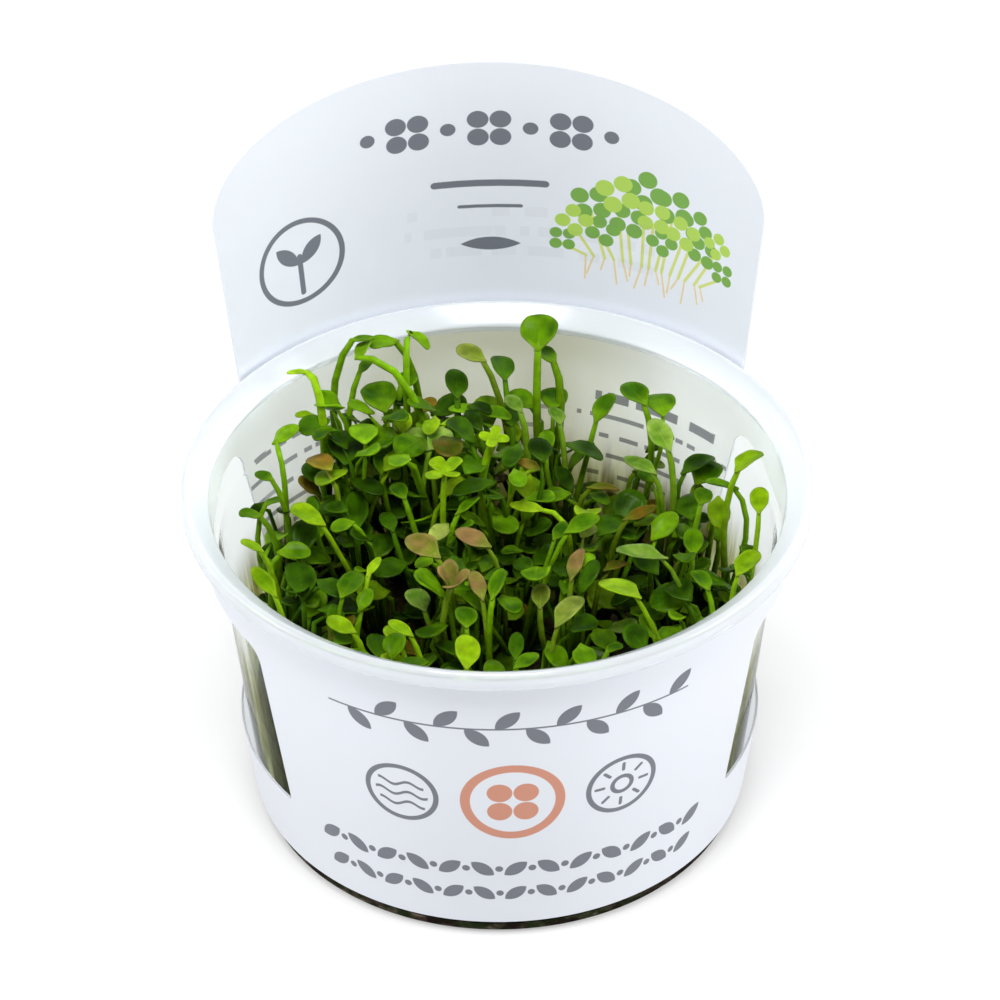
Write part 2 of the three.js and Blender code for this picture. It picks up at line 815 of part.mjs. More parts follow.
// A card panel: a box bent round the axis, with the radius and height of its two edges given at each angle.
function bentPanel(startAngle, endAngle, columns, edges) {
  const geometry = new THREE.BoxGeometry(1, 1, 1, columns, 1, 1);
  const position = geometry.attributes.position;
  for (let i = 0; i < position.count; i++) {
    const share = position.getX(i) + 0.5;
    const fromBack = THREE.MathUtils.lerp(startAngle, endAngle, share);
    const edge = edges(fromBack)[position.getY(i) < 0 ? 0 : 1];
    const radius = edge.radius - (position.getZ(i) < 0 ? CARD : 0);
    const angle = radians(fromBack + SLEEVE_TURN);
    position.setXYZ(i, -radius * Math.sin(angle), radius * Math.cos(angle), edge.height);
  }
  return toSolid(geometry);
}

// The window cut: one block through both sides, narrower at its foot, with rounded upper corners.
function windowSolid() {
  const shape = new THREE.Shape();
  shape.moveTo(-WINDOW_HALF_BOTTOM, WINDOW_BOTTOM);
  shape.lineTo(WINDOW_HALF_BOTTOM, WINDOW_BOTTOM);
  shape.lineTo(WINDOW_HALF_TOP, WINDOW_TOP - WINDOW_CORNER);
  shape.quadraticCurveTo(WINDOW_HALF_TOP, WINDOW_TOP, WINDOW_HALF_TOP - WINDOW_CORNER, WINDOW_TOP);
  shape.lineTo(WINDOW_CORNER - WINDOW_HALF_TOP, WINDOW_TOP);
  shape.quadraticCurveTo(-WINDOW_HALF_TOP, WINDOW_TOP, -WINDOW_HALF_TOP, WINDOW_TOP - WINDOW_CORNER);
  const length = 4 * RIM_RADIUS;
  const block = new THREE.ExtrudeGeometry(shape, { depth: length, bevelEnabled: false, curveSegments: 3 });
  block.translate(0, 0, -length / 2);
  block.rotateX(Math.PI / 2);
  block.rotateZ(Math.PI / 2 + radians(SLEEVE_TURN));
  return toSolid(block);
}

// The sleeve and its header card, die-cut from one sheet.
function sleeveGeometry() {
  const lap = 0.01;
  const ends = (fromBack) => [
    { radius: sleeveRadius(fromBack, SLEEVE_BOTTOM), height: SLEEVE_BOTTOM },
    { radius: sleeveRadius(fromBack, SLEEVE_TOP), height: SLEEVE_TOP },
  ];
  const headerEnds = (fromBack) => [
    { radius: HEADER_RADIUS, height: SLEEVE_TOP - lap },
    {
      radius: HEADER_RADIUS + HEADER_SLOPE * (headerTop(fromBack) - SLEEVE_TOP),
      height: headerTop(fromBack),
    },
  ];
  const half = HEADER_HALF_ANGLE;
  const back = bentPanel(-half - lap, half + lap, HEADER_COLUMNS, ends);
  const rest = bentPanel(half, 360 - half, BODY_COLUMNS, (a) => ends(a > 180 ? a - 360 : a));
  const header = bentPanel(-half, half, HEADER_COLUMNS, headerEnds);
  return toGeometry(back.add(rest).add(header).subtract(windowSolid()));
}

// Materials
const TONE_COLOURS = {
  lime: 0x9bbf2a,
  leaf: 0x5f9a22,
  deep: 0x2f6417,
  pale: 0x86ad55,
  olive: 0x7d8445,
  rust: 0x9a6a35,
  blush: 0xbf9a78,
};
const plastic = new THREE.MeshStandardMaterial({
  color: 0xe4e9ea,
  roughness: 0.25,
  transparent: true,
  opacity: 0.4,
});
const card = new THREE.MeshStandardMaterial({ color: 0xf1f3f6, roughness: 0.55, side: THREE.DoubleSide });
const medium = new THREE.MeshStandardMaterial({ color: 0x2a2416, roughness: 0.8 });

// A named mesh of one piece.
function piece(name, geometry, material) {
  const mesh = new THREE.Mesh(geometry, material);
  mesh.name = name;
  return mesh;
}

const cloverCup = new THREE.Group();
cloverCup.add(piece("cup", cupGeometry(), plastic));
cloverCup.add(piece("label_sleeve", sleeveGeometry(), card));
cloverCup.add(piece("growth_medium", mediumGeometry(), medium));

const bed = new THREE.Group();
allPlantlets().forEach((plantlet, i) => {
  const foliage = new THREE.MeshStandardMaterial({
    color: TONE_COLOURS[plantlet.fronds[0].tone],
    roughness: 0.4,
  });
  bed.add(piece("plantlet_" + String(i + 1).padStart(2, "0"), plantletGeometry(plantlet), foliage));
});
cloverCup.add(bed);

export default cloverCup;
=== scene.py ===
"""Dwarf water clover in its culture cup: fine fronds, clear cup, printed card sleeve and dark growth medium.

Sizes are millimetres until a mesh is finished, when it is scaled to metres. Inside a material and in the
studio, places are metres. Angles are degrees, apart from the turn of a printed mark. Colours are screen
values from 0 to 255.
"""

import math
import random

import bmesh
import bpy
import numpy as np
from mathutils import Matrix, Vector, noise

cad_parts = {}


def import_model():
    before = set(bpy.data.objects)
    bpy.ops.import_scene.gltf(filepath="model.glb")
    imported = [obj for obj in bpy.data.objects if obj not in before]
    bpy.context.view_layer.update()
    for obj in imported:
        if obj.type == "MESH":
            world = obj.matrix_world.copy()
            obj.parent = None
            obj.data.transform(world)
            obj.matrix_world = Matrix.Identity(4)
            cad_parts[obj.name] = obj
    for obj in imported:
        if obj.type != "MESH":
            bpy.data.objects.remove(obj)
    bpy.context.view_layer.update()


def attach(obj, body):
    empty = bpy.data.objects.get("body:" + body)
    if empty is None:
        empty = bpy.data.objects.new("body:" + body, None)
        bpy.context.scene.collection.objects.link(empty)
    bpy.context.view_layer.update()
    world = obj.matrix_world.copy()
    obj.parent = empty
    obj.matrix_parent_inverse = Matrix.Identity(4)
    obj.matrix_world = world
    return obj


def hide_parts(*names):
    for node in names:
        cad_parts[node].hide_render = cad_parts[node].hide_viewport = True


MM = 0.001
PHOTO_SIZE = 1000
UP = np.array([0.0, 0.0, 1.0])

# Camera, as fitted to the outlines of the cup and the card
CAMERA_PLACE = (0, -442.4, 388.38)
CAMERA_TARGET = (0.397, 0, 56.42)
CAMERA_ROLL = -0.591
CAMERA_FOCAL_PIXELS = 3476.83
SENSOR = 36

# Studio: each light's place, size and watts
LIGHTS = {
    "overhead": ((-0.1, -0.78, 2.35), 1.0, 58),
    "left": ((-2.7, -0.3, 1.0), 1.6, 35),
    "right": ((2.7, -0.3, 1.0), 1.6, 50),
}
LIGHT_TARGET = (0, 0, 0.05)
SURROUND_STRENGTH = 0.36
STAGE_HALF = 2500
STAGE_DROP = 0.05
STAGE_TONE = (181, 181, 181)
STAGE_GLOW = 0.44
WHITE = (255, 255, 255)

# Cup
CUP_HEIGHT = 61.6
RIM_RADIUS = 50
RIM_INNER_RADIUS = 45.8
RIM_INNER_HEIGHT = 59
RIM_WALL_SLOPE = 0.1
RIM_EDGE = 1
RIM_ROUNDING = 0.5
SKIRT_HEIGHT = 3
WALL = 0.9
FOOT_CHAMFER = 0.8
FLOOR = 1.2
FLOOR_RADIUS = 39.1
LEDGE_RADIUS = 43.8
LEDGE_HEIGHT = 50.9
LEDGE_STEP = 1.1
LEDGE_DROP = 0.7
GAP = 0.3
CUP_STEPS = 128
SHARP_ANGLE = 14
EDGE_ROUNDING = 0.22
EDGE_SEGMENTS = 3
SPUN_WELD = 1e-4
SHORTEST_EDGE = 1e-5

# Sleeve and header card
CARD = 0.4
SLEEVE_BOTTOM = 3.5
SLEEVE_TOP = 56.9
SLEEVE_BOTTOM_RADIUS = 41.1
SLEEVE_SLOPE = 0.1236
SLEEVE_TURN = 3
HEADER_HALF_ANGLE = 56.5
HEADER_LEFT_ANGLE = 53.2
HEADER_STAND_OFF = 0.8
HEADER_RADIUS = RIM_RADIUS + HEADER_STAND_OFF
HEADER_SLOPE = 0.115
HEADER_TOP = 104.1
HEADER_ARCH = 16.4
HEADER_LEFT_ARCH = 14.5
BULGE_END_ANGLE = 82
BACK_COLUMNS = 48
SIDE_COLUMNS = 52
SLEEVE_CELLS = 56
HEADER_CELLS = 30
WINDOW_BOTTOM = 17
WINDOW_TOP = 49.5
WINDOW_HALF_TOP = 26.4
WINDOW_HALF_BOTTOM = 25
WINDOW_CORNER = 3
WINDOW_FOOT_CORNER = 0.6
CARD_MARGIN = 0.1
LAST_ANGLE = 179
SAME_ANGLE = 0.01
SHEET_WELD = 0.02
CARD_SIDES = ("card_front", "card_back", "header_inside", "sleeve_inside", "card_edge")

# Growth medium: its lumps by fineness and height
MEDIUM_TOP = 20
MEDIUM_SIDE_LEVELS = (6, 11, 16)
MEDIUM_RINGS = 26
MEDIUM_STEPS = 112
MEDIUM_LUMPS = ((0.28, 1), (0.9, 0.5), (2.2, 0.3))
MEDIUM_RELIEF = 0.55
MEDIUM_SINK = 0.2
MEDIUM_SETTLING = 0.1
MEDIUM_HIGHEST_LUMP = 0.25

# Crowns and stalks
CROWN_RADIUS = 1.9
CROWN_THICKNESS = 1.1
KNOT_ROUGHNESS = 0.35
KNOT_FINENESS = 2.3
FOOT_SPREAD = 1
FOOT_HEIGHT = MEDIUM_TOP + GAP + CROWN_THICKNESS / 2
STALK_FOOT_RADIUS = 0.62
STALK_NECK_RADIUS = 0.46
STALK_SHEATH = 0.5
SHEATH_SHARE = 0.15
TALL_NECK = 55.2
TALL_STALK = 1.35
RISING_HANDLE = 0.4
ARRIVING_HANDLE = 0.3
ARCH_HANDLE = 0.29
ARCH_HEIGHT = 0.1
BLADE_PULL = 0.6
UPWARD_PULL = 0.9
OFF_STALK = (0.31, 0.95, 0.05)
SAME_RING = 1e-5

# Blades
BLADE_THICKNESS = 0.3
BLADE_RIM_THICKNESS = 0.55
BLADE_FOOT_WIDTH = 0.38
BLADE_WAIST = 0.36
BLADE_SET_BACK = 0.1
RIPPLES_ALONG = 7
RIPPLES_ACROSS = 2.5
RIPPLE_HEIGHT = 0.06
OUTLINE_ENDS = (0.004, 0.996)
NECK_SHARE = 0.85
MIDRIB_SHARE = 0.3
MIDRIB_DROP = 0.15
MIDRIB_TAPER = 0.75
CLOVER_KNOB = 0.1
FULLEST = {"round": 0.56, "oval": 0.5, "lance": 0.42, "clover": 0.66}
LEAFLETS = 4
LEAFLET_REACH = 0.8
FOLDED_RISE = {"blush": 44}

# How one frond differs from another: least and most of each measure
FROND_SEED = 11
TINT = (-1, 1)
ARCHED_TINT = 0.9
STEADY_TINT = 0.5
SWAY = (-0.5, 0.5)
GIRTH = (0.75, 1.05)
LEAFLET_RISE = (-5, 15)
ROLL = (-18, 18)
CUPPING = (0.12, 0.42)
DROOP = (-0.08, 0.2)
WAVE = (-1, 1)

# Templates, as (sides, steps) of a stalk and cells across a blade
FINE_STALK = (7, 9)
FINE_BLADE = 8
SMALL_STALK = (5, 4)
SMALL_BLADE = 4

# Spacing of fronds, and the points along them at which it is measured
FROND_SPACING = 1.8
WALL_SPACING = 1.3
STALK_SAMPLES = 10
BLADE_SAMPLES_ALONG = (0.2, 0.5, 0.8, 1)
BLADE_SAMPLES_ACROSS = (-0.8, 0, 0.8)
LAST_FULL_SAMPLE = 0.95

# The smaller fronds that fill up a plantlet, and the plantlets on the bare medium
MOST_FRONDS = 3
THIRD_FROND_SHARE = 0.45
TRIES = 40
ROUND_FROM_SHARE = 0.7
FILLING_SEED = 20261
FILLING_HEIGHT = (33, 50)
FILLING = {
    "reach": (2, 7.5), "swerve": (-80, 80), "rise": (-6, 34), "length": (3.6, 6.2),
    "width_share": (0.5, 0.85),
    "tones": {"leaf": 0.45, "deep": 0.7, "lime": 0.88, "pale": 0.95, "olive": 1},
}
PLANTLETS_IN_ALL = 55
GOLDEN_ANGLE = 137.508
SPIRAL_PLACES = 90
SPIRAL_RADIUS = 37
CROWN_SPACING = 5.5

# The undergrowth of short fronds between the tall ones, with its tries and heights in the middle, at the back
# and at the sides of the cup
UNDERGROWTH_SEED = 4177
UNDERGROWTH_SPACING = 0.8
UNDERGROWTH = {
    "reach": (1, 7.5), "swerve": (-120, 120), "rise": (-10, 40), "length": (3.4, 6.6),
    "width_share": (0.55, 0.95),
    "tones": {"deep": 0.42, "leaf": 0.83, "lime": 0.93, "olive": 0.97, "rust": 1},
}
MIDDLE_GROWTH = (10, (27, 50))
BACK_GROWTH = (26, (34, 56))
SIDE_GROWTH = (30, (23, 48))
SIDE_CROWN = 27
BACK_CROWN = (2, 8)

# Each tone of foliage: the leaf's face, its darker patches, its veins, the stalk and the stalk's foot
FOLIAGE_COLOURS = {
    "lime": ((150, 193, 11), (108, 156, 6), (184, 214, 46), (144, 190, 18), (56, 78, 10)),
    "leaf": ((104, 156, 6), (56, 106, 2), (148, 192, 28), (126, 178, 16), (44, 62, 6)),
    "deep": ((62, 106, 4), (32, 64, 3), (94, 140, 18), (88, 138, 12), (34, 50, 5)),
    "pale": ((156, 194, 74), (98, 148, 26), (204, 222, 138), (132, 178, 34), (54, 76, 12)),
    "olive": ((150, 168, 66), (104, 126, 26), (190, 198, 108), (120, 152, 28), (56, 58, 14)),
    "rust": ((134, 100, 26), (88, 104, 12), (172, 150, 62), (114, 144, 20), (56, 52, 10)),
    "blush": ((166, 130, 80), (122, 130, 36), (192, 164, 110), (132, 168, 30), (60, 68, 14)),
}
TONES = tuple(FOLIAGE_COLOURS)

# Foliage: its sheen, its fan of veins, its unevenness, and the painted shade that darkens it with depth
# between two heights in metres
FOLIAGE_SHEEN = {
    "IOR": 1.13, "Specular_Tint": (0.7, 1.0, 0.3, 1), "Coat_Weight": 0.11, "Coat_IOR": 1.3,
    "Coat_Roughness": 0.15, "Subsurface_Weight": 0.2, "Subsurface_Scale": 0.0008,
    "Subsurface_Radius": (0.6, 1.0, 0.25),
}
VEIN_START = 0.22
VEIN_FAN = 19
MOTTLE_FINENESS = 620
PATCH_FINENESS = 230
MIDDLE_LIGHT = 0.57
TINT_LIGHT = 0.25
SUNLIT_HEIGHT = 0.051
SHADED_HEIGHT = 0.025
SHADED = 0.13

# Plastic: its tints, clearness, refraction and dullness, then its film of painted shade and the stain at its
# foot, with the heights in metres where they begin and are full
PLASTICS = {
    "clear_plastic": (((232, 238, 236), (240, 245, 243)), 0.97, 1.03, 0.03),
    "rim_plastic": (((240, 245, 251), (247, 251, 255)), 0.43, 1.42, 0.14),
}
PLASTIC_GRAIN = 240
SHADE_FILM_COLOURS = ((190, 198, 150), (100, 98, 40))
STAIN_COLOURS = ((44, 36, 30), (48, 60, 34))
STAIN_CRUMBS = (140, 124, 112)
SHADE_FILM_HEIGHTS = (0.042, 0.03)
STAIN_HEIGHTS = (0.006, 0.005)
STAIN_FINENESS = 150
STAIN_CRUMB_FINENESS = 420
STREAK_FINENESS = 420
STREAK_STRETCH = (1, 1, 0.1)

# Growth medium: its two browns, its crumbs and its threads of root
MEDIUM_BROWNS = ((22, 18, 10), (58, 46, 26))
MEDIUM_CRUMBS = (120, 98, 62)
MEDIUM_THREADS = (132, 112, 70)
LUMP_FINENESS = 260
CRUMB_FINENESS = 1300
THREAD_FINENESS = 420

# Card and its inks
CARD_WHITES = ((214, 218, 225), (215, 219, 227))
# Painted shade on the card: lighter above the first height, darker below the second, by the last two shares
PAINTED_CARD_SHADE = (0.052, 0.012, 1.05, 0.94)
CARD_GRAIN = 2600
NOTE_INK = (84, 88, 98)
INKS = {
    "grey": (104, 108, 118), "warm": (194, 132, 108), "green": (112, 158, 70), "fresh": (164, 196, 84),
    "pale": (196, 204, 118), "tan": (216, 196, 150),
}

# Painted daylight, a glow on the card's inside that stands in for light coming through the card: behind the
# plants, at the sides, behind the gel and in the open strip below the windows, with the distances in metres
# between which one gives way to the next
BACK_GLOW = (186, 174, 134)
SIDE_GLOW = (244, 235, 222)
GEL_GLOW = (96, 86, 48)
OPEN_GLOW = (255, 255, 252)
HEADER_DAYLIGHT = (0.095, 0.06, 0, 0.2)
BELOW_HEADER = (0.057, 0.055)
BEHIND_PLANTS = (-0.02, 0.005)
ABOVE_GEL = (0.024, 0.034)
TO_THE_SIDE = (0.012, 0.036)
BESIDE_WALL = (0.031, 0.035)
BELOW_WINDOW = (0.019, 0.0175)

# Print, in millimetres from the middle of the card's front or back and up from the cup's foot. A mark's edge
# is soft over twice the ink edge, and the maps of the card are in units of a hundred millimetres.
PRINT_RADIUS = 46
MAP_UNIT = 100
INK_EDGE = 0.07
SOCKET_KINDS = {"V": "NodeSocketVector", "F": "NodeSocketFloat", "C": "NodeSocketColor"}
CLOVER_SPREAD = 0.56
CLOVER_LEAFLET = 0.38
WAVE_TURN = 1.3
ROW_LEAN = 0.65
ROW_DOT = 0.27
DASH_SHIFT = 7.3
DASH_FINENESS = 0.42
DASH_ENDS = (0.42, 0.45)

# The front: a garland as (start, end, height), a badge each for water, clover and sun, and two rows of leaves
GARLAND = (-29.4, 27.9, 48.4)
GARLAND_SPACING = 4.6
GARLAND_LEAF = (5.2, 2.5)
GARLAND_LINE = 0.35
GARLAND_FIRST = 0.7
GARLAND_LEAN = 0.36
BADGE_HEIGHT = 32
BADGE_RING = (6.2, 0.9)
WATER_BADGE = -18.5
WATER_WAVES = ((2, 3.8), (-0.2, 4.4), (-2.4, 3.8))
WAVE_SWING = 0.5
SUN_BADGE = 17.5
SUN_DISC = (2.1, 0.8)
SUN_RAYS = 8
SUN_RAY = (3.2, 4.5)
CLOVER_BADGE = -0.5
CLOVER_RING = (8.4, 1.6)
CLOVER_SIZE = 5.3
LEAF_ROWS = ((16.4, 35.6, 5.6, 4.8, 2.5), (10.6, 34.3, 5.4, 4.6, 2.4))
THIN_LINE = 0.6

# The header: clovers and dots in a row, two rules above a lens, a ringed seedling, and the heads of a sprig
# as (x, z, size)
TITLE_HEIGHT = 92.5
TITLE_CLOVERS = (-9.8, 1.8, 13.4)
TITLE_CLOVER_SIZE = 4.0
TITLE_DOTS = (-15.6, -4, 7.6, 19.2)
TITLE_DOT = (1.1, 1.1)
HEADER_RULES = ((-6.2, 9.8, 82.6, 1.2), (-2.7, 6.3, 78.4, 0.6))
LENS = ((1.8, 71.5), 0.0, 9, 2.4)
SEEDLING = (-28, 75)
SEEDLING_RING = (7.6, 0.9)
SEEDLING_STEM = (69.4, 76)
SEEDLING_LEAVES = (((-30.1, 76.6), 2.3, 5.4, 2.4), ((-25.9, 76.6), 0.84, 5.4, 2.4))
SPRIG_HEADS = (
    (12.5, 73.0, 2.5), (14.2, 76.6, 3.1), (16.6, 80.2, 3.6), (18.6, 75.4, 3.0), (20.6, 82.6, 3.8),
    (22.4, 78.2, 3.4), (24.8, 84.2, 3.9), (26.4, 80.0, 3.3), (28.0, 76.0, 2.8), (29.4, 82.8, 3.7),
    (31.4, 78.8, 3.2), (33.4, 81.0, 3.1), (35.0, 76.8, 3.0), (37.4, 79.0, 2.6), (38.8, 74.6, 2.4),
)
SPRIG_MIDDLE = 25.5
SPRIG_GATHER = 0.72
SPRIG_GROUND = 70.5
SPRIG_ROOTS = 66.2
SPRIG_NECK = 0.4
SPRIG_LINE = 0.5
SPRIG_ROOT_LINE = 0.3
SPRIG_TURN = 0.9
ROOT_SCATTER = 5

# Blocks of dashed rows as (middle, half width, bottom, top) with their strength and line: on the outside of
# the back, on the inside of the sleeve, and on the header, where the outside's rows show through faintly
BACK_NOTES = (((0, 21, 57.5, 86.5), 0.9, 0.8), ((0, 34, 18, 50.5), 0.9, 0.8))
SLEEVE_NOTES = (
    ((-37, 18, 5, 46.8), 0.75, 0.8), ((2, 11, 5, 43.2), 0.6, 0.8), ((36, 20, 5, 43.2), 0.8, 0.8),
    ((34, 15, 43.2, 46.8), 0.85, 1.7),
)
HEADER_NOTES = (((8, 19, 68.4, 79.2), 0.06, 1.8),)
NOTE_ROW = 3.6

# The fronds that stand out, plantlet by plantlet, as (place of the crown, its fronds). A frond is its kind of
# blade, its neck, its heading, rise, length, width and tone, and True where its stalk is arched.
PLANTLETS = (
    ((-24, 29), (
        ("lance", (-24, 34.5, 64), 6, 5, 4, 1.8, "leaf"),
        ("oval", (-23, 35, 57), 40, 20, 4, 2.4, "leaf"),
    )),
    ((-8, 27), (
        ("round", (-23.2, 32.4, 61.8), 50, 25, 3.8, 2.6, "leaf", True),
        ("round", (-6.5, 30, 55.5), 93, 15, 6, 4, "deep"),
    )),
    ((-14, 34), (
        ("round", (-16.5, 37, 62), 195, 8, 4.8, 3.4, "leaf"),
        ("oval", (-14.5, 37.5, 63.5), -37, -10, 4.6, 2.6, "leaf", True),
        ("round", (-16, 33, 55.5), 57, 8, 4, 3.4, "leaf"),
        ("oval", (-13, 32, 51), 46, 8, 4, 2.4, "rust"),
    )),
    ((-29, 24), (
        ("lance", (-31, 29, 61.5), 195, 5, 3.6, 1.4, "lime", True),
        ("lance", (-30.5, 28, 53.5), 190, 5, 3, 1.5, "lime"),
    )),
    ((-35, 15), (
        ("oval", (-36.5, 19.5, 54), 35, 18, 5, 2.6, "leaf", True),
        ("oval", (-36.5, 12, 52), 157, 15, 3.2, 2.2, "leaf"),
    )),
    ((-36, 2), (
        ("round", (-38, 3, 51.5), 177, 5, 3.6, 2.6, "leaf"),
        ("oval", (-37.5, 4.5, 52.5), 26, 15, 3, 1.8, "leaf"),
    )),
    ((-35, -7), (
        ("oval", (-37.5, -5, 50.5), 150, 14, 4, 2.2, "lime"),
    )),
    ((-29, -20), (
        ("oval", (-35, -15.5, 50), 125, 10, 6.5, 2.6, "lime"),
    )),
    ((-19, 2), (
        ("round", (-28, 0, 52), 148, 10, 6, 4, "lime"),
    )),
    ((-33, -3), (
        ("oval", (-35, -1.5, 47.5), 0, 0, 5, 3.5, "leaf"),
        ("round", (-31, -11, 46), 98, 5, 7.5, 5, "deep"),
    )),
    ((-23, 6), (
        ("oval", (-23, 8, 45), 92, 8, 8, 3.8, "deep"),
    )),
    ((-25, 18), (
        ("round", (-25, 18, 51), 91, 6, 7.5, 6, "deep"),
        ("round", (-25.5, 16.5, 48.5), 151, 4, 7.5, 5, "deep"),
    )),
    ((-17, 26), (
        ("round", (-18.5, 28.5, 54), 108, 8, 7, 6, "leaf"),
        ("oval", (-23, 26.5, 50), 11, 4, 4.8, 3, "leaf"),
    )),
    ((-14, 21), (
        ("round", (-15.5, 23.5, 53), 89, 16, 4.5, 3, "lime"),
        ("oval", (-19, 17.5, 49), 94, 20, 5, 2.6, "leaf"),
    )),
    ((-10.5, 17), (
        ("round", (-11.5, 20, 52), 114, 5, 6, 4, "pale"),
        ("round", (-11, 19.5, 52.5), 55, 5, 5.5, 3.8, "pale"),
    )),
    ((-8.5, 8), (
        ("clover", (-8.5, 9.5, 55), 80, 6, 3.6, 2.6, "lime"),
    )),
    ((-4, 24), (
        ("lance", (-9, 27, 52), 15, 2, 5, 2, "lime"),
    )),
    ((4, 32), (
        ("oval", (-2, 34, 60), 146, 8, 5.5, 3.2, "olive"),
        ("round", (1.5, 33, 57), 99, 10, 6, 4, "deep"),
    )),
    ((3, 25), (
        ("oval", (2.5, 26, 52.5), 95, 10, 4.5, 3.6, "deep"),
        ("round", (4, 23.5, 57), 120, 5, 4.5, 2.6, "pale"),
    )),
    ((8.5, 33), (
        ("round", (7, 36, 61), 83, 24, 6.4, 6.4, "leaf"),
        ("round", (9.8, 36, 58), 130, 14, 4.5, 3.6, "leaf"),
        ("round", (9.5, 32.5, 51), 86, 10, 5.5, 4.6, "leaf"),
    )),
    ((11.5, 23), (
        ("oval", (10.5, 25.5, 53), 108, 7, 4, 2.8, "pale"),
        ("oval", (16.5, 29.5, 50.5), 59, 28, 6.2, 3.2, "leaf"),
    )),
    ((22, 24), (
        ("round", (24.5, 26, 56.5), 121, 8, 6, 4.4, "leaf"),
        ("round", (27.5, 25, 55), 96, 8, 6, 5, "leaf"),
    )),
    ((26.5, 12.5), (
        ("oval", (28, 14.5, 55.5), 110, 7, 7.5, 3.8, "pale"),
        ("oval", (25.5, 11.5, 53), 133, 3, 6.8, 3, "pale"),
    )),
    ((34, 12), (
        ("round", (30.5, 15.5, 50), 39, 4, 6.5, 4, "deep"),
        ("oval", (31.5, 8.5, 46), 93, 6, 6.5, 4.6, "deep"),
    )),
    ((37, 5), (
        ("oval", (38.5, 6.5, 57), 42, 10, 5.5, 4.3, "lime"),
        ("oval", (38.5, 7, 53), 165, 3, 5, 2.6, "leaf"),
    )),
    ((38, -3), (
        ("round", (41.5, -2, 55), 85, 16, 5, 3, "lime"),
    )),
    ((35.5, -13), (
        ("oval", (37.5, -14, 52), 56, 9, 6, 3.6, "lime"),
    )),
    ((27, -2), (
        ("round", (32.5, 3, 53), 72, 12, 3.6, 3, "leaf"),
        ("round", (31, -5, 49), 86, 17, 5, 3.2, "leaf"),
    )),
    ((34, -16), (
        ("oval", (26, -11, 53), 170, 4, 7.6, 4.2, "pale"),
    )),
    ((30.5, -22), (
        ("round", (21.5, -22, 54), 142, 8, 6.8, 5.4, "lime"),
    )),
    ((3, -5), (
        ("oval", (11, -1.5, 51), 28, 8, 6, 3.4, "leaf"),
        ("oval", (9, 0, 48.5), 63, 4, 4.5, 2.2, "leaf"),
    )),
    ((11, -12), (
        ("oval", (11.5, -11, 49), 76, 12, 6.8, 2.6, "blush"),
        ("round", (6.5, -15, 46.5), 85, 13, 4.4, 3, "olive"),
    )),
    ((6, -25), (
        ("oval", (9, -25, 51), 59, 11, 7.4, 3.6, "olive"),
    )),
    ((12, 4), (
        ("oval", (7.5, 7, 49), 157, -6, 6, 2.2, "lime", True),
    )),
    ((1, 11), (
        ("lance", (7, 14, 52), 148, 5, 4.5, 1.8, "rust", True),
    )),
    ((13, 13), (
        ("lance", (15, 13, 49), 5, 0, 5, 2.2, "rust"),
    )),
    ((17, 4), (
        ("lance", (20.5, 3, 50), 31, 2, 6, 2, "rust"),
    )),
    ((-5, -12), (
        ("oval", (-9.5, -10, 53), 141, 9, 6.4, 4.2, "blush"),
    )),
    ((2, -9), (
        ("oval", (-1.5, -7.5, 53), 150, 8, 6, 3.4, "blush"),
    )),
    ((-8, -16), (
        ("clover", (-7.5, -15.5, 51), 45, 8, 4.4, 2.6, "blush"),
    )),
    ((-1, -18), (
        ("oval", (-2.5, -17, 50), 105, 17, 6, 2.6, "blush"),
        ("oval", (-1, -17.5, 50.5), 72, 17, 5.6, 2.6, "leaf"),
    )),
    ((-2.5, 16), (
        ("clover", (-0.5, 17, 56), 30, 10, 2.6, 1.8, "lime"),
    )),
    ((-10, 4), (
        ("round", (-15, 8, 51), 120, 8, 3.8, 2.8, "leaf"),
        ("oval", (-17, 6, 46), 109, 6, 5, 2.8, "deep"),
    )),
    ((-7, 1), (
        ("lance", (-6.5, 3, 51.5), 40, 10, 4.8, 2.2, "leaf"),
    )),
    ((-24, -17), (
        ("oval", (-24.5, -16, 50), 64, 9, 6, 4, "leaf"),
        ("lance", (-20.5, -12, 51), 65, 7, 4.4, 1.6, "lime"),
    )),
    ((-19, -24), (
        ("oval", (-22.5, -22.5, 48), 148, 4, 5, 2.8, "lime"),
    )),
    ((-10, -27), (
        ("oval", (-13.5, -26, 50), 140, 7, 4.6, 2.4, "lime"),
    )),
    ((-14, -33.5), (
        ("oval", (-16, -32.5, 49), 25, 3, 5.5, 3, "leaf"),
    )),
    ((-3, -34.5), (
        ("round", (-5, -35, 51), 90, 14, 5.8, 4, "lime"),
    )),
    ((-4, -23.5), (
        ("round", (-5, -24, 50), 94, 13, 4, 3.6, "leaf"),
    )),
    ((4, -34), (
        ("oval", (2.5, -34, 50), 42, 6, 4.6, 2.6, "leaf"),
        ("oval", (2.5, -27.5, 46.5), 86, 11, 5, 2.4, "deep"),
    )),
    ((18, -31), (
        ("round", (16.5, -30.5, 50), 39, 6, 3, 2.2, "leaf"),
    )),
)


# Layout of the plantlets

def frond(kind, neck, heading, rise, length, width, tone, arched=False):
    """One frond. An arched stalk comes to the neck from above."""
    return {
        "kind": kind, "neck": np.array(neck, float), "heading": heading, "rise": rise,
        "length": length, "width": width, "tone": tone, "arched": arched,
    }


def flat_direction(degrees):
    """The flat unit vector at an angle."""
    turn = math.radians(degrees)
    return np.array([math.cos(turn), math.sin(turn), 0.0])


def unit(vector):
    """The vector at length one."""
    return vector / np.linalg.norm(vector)


def inner_wall(z):
    """The inner wall's radius at a height."""
    if z > LEDGE_HEIGHT:
        return RIM_INNER_RADIUS - RIM_WALL_SLOPE * max(0, RIM_INNER_HEIGHT - z)
    return FLOOR_RADIUS + (LEDGE_RADIUS - FLOOR_RADIUS) * (z - FLOOR) / (LEDGE_HEIGHT - FLOOR)


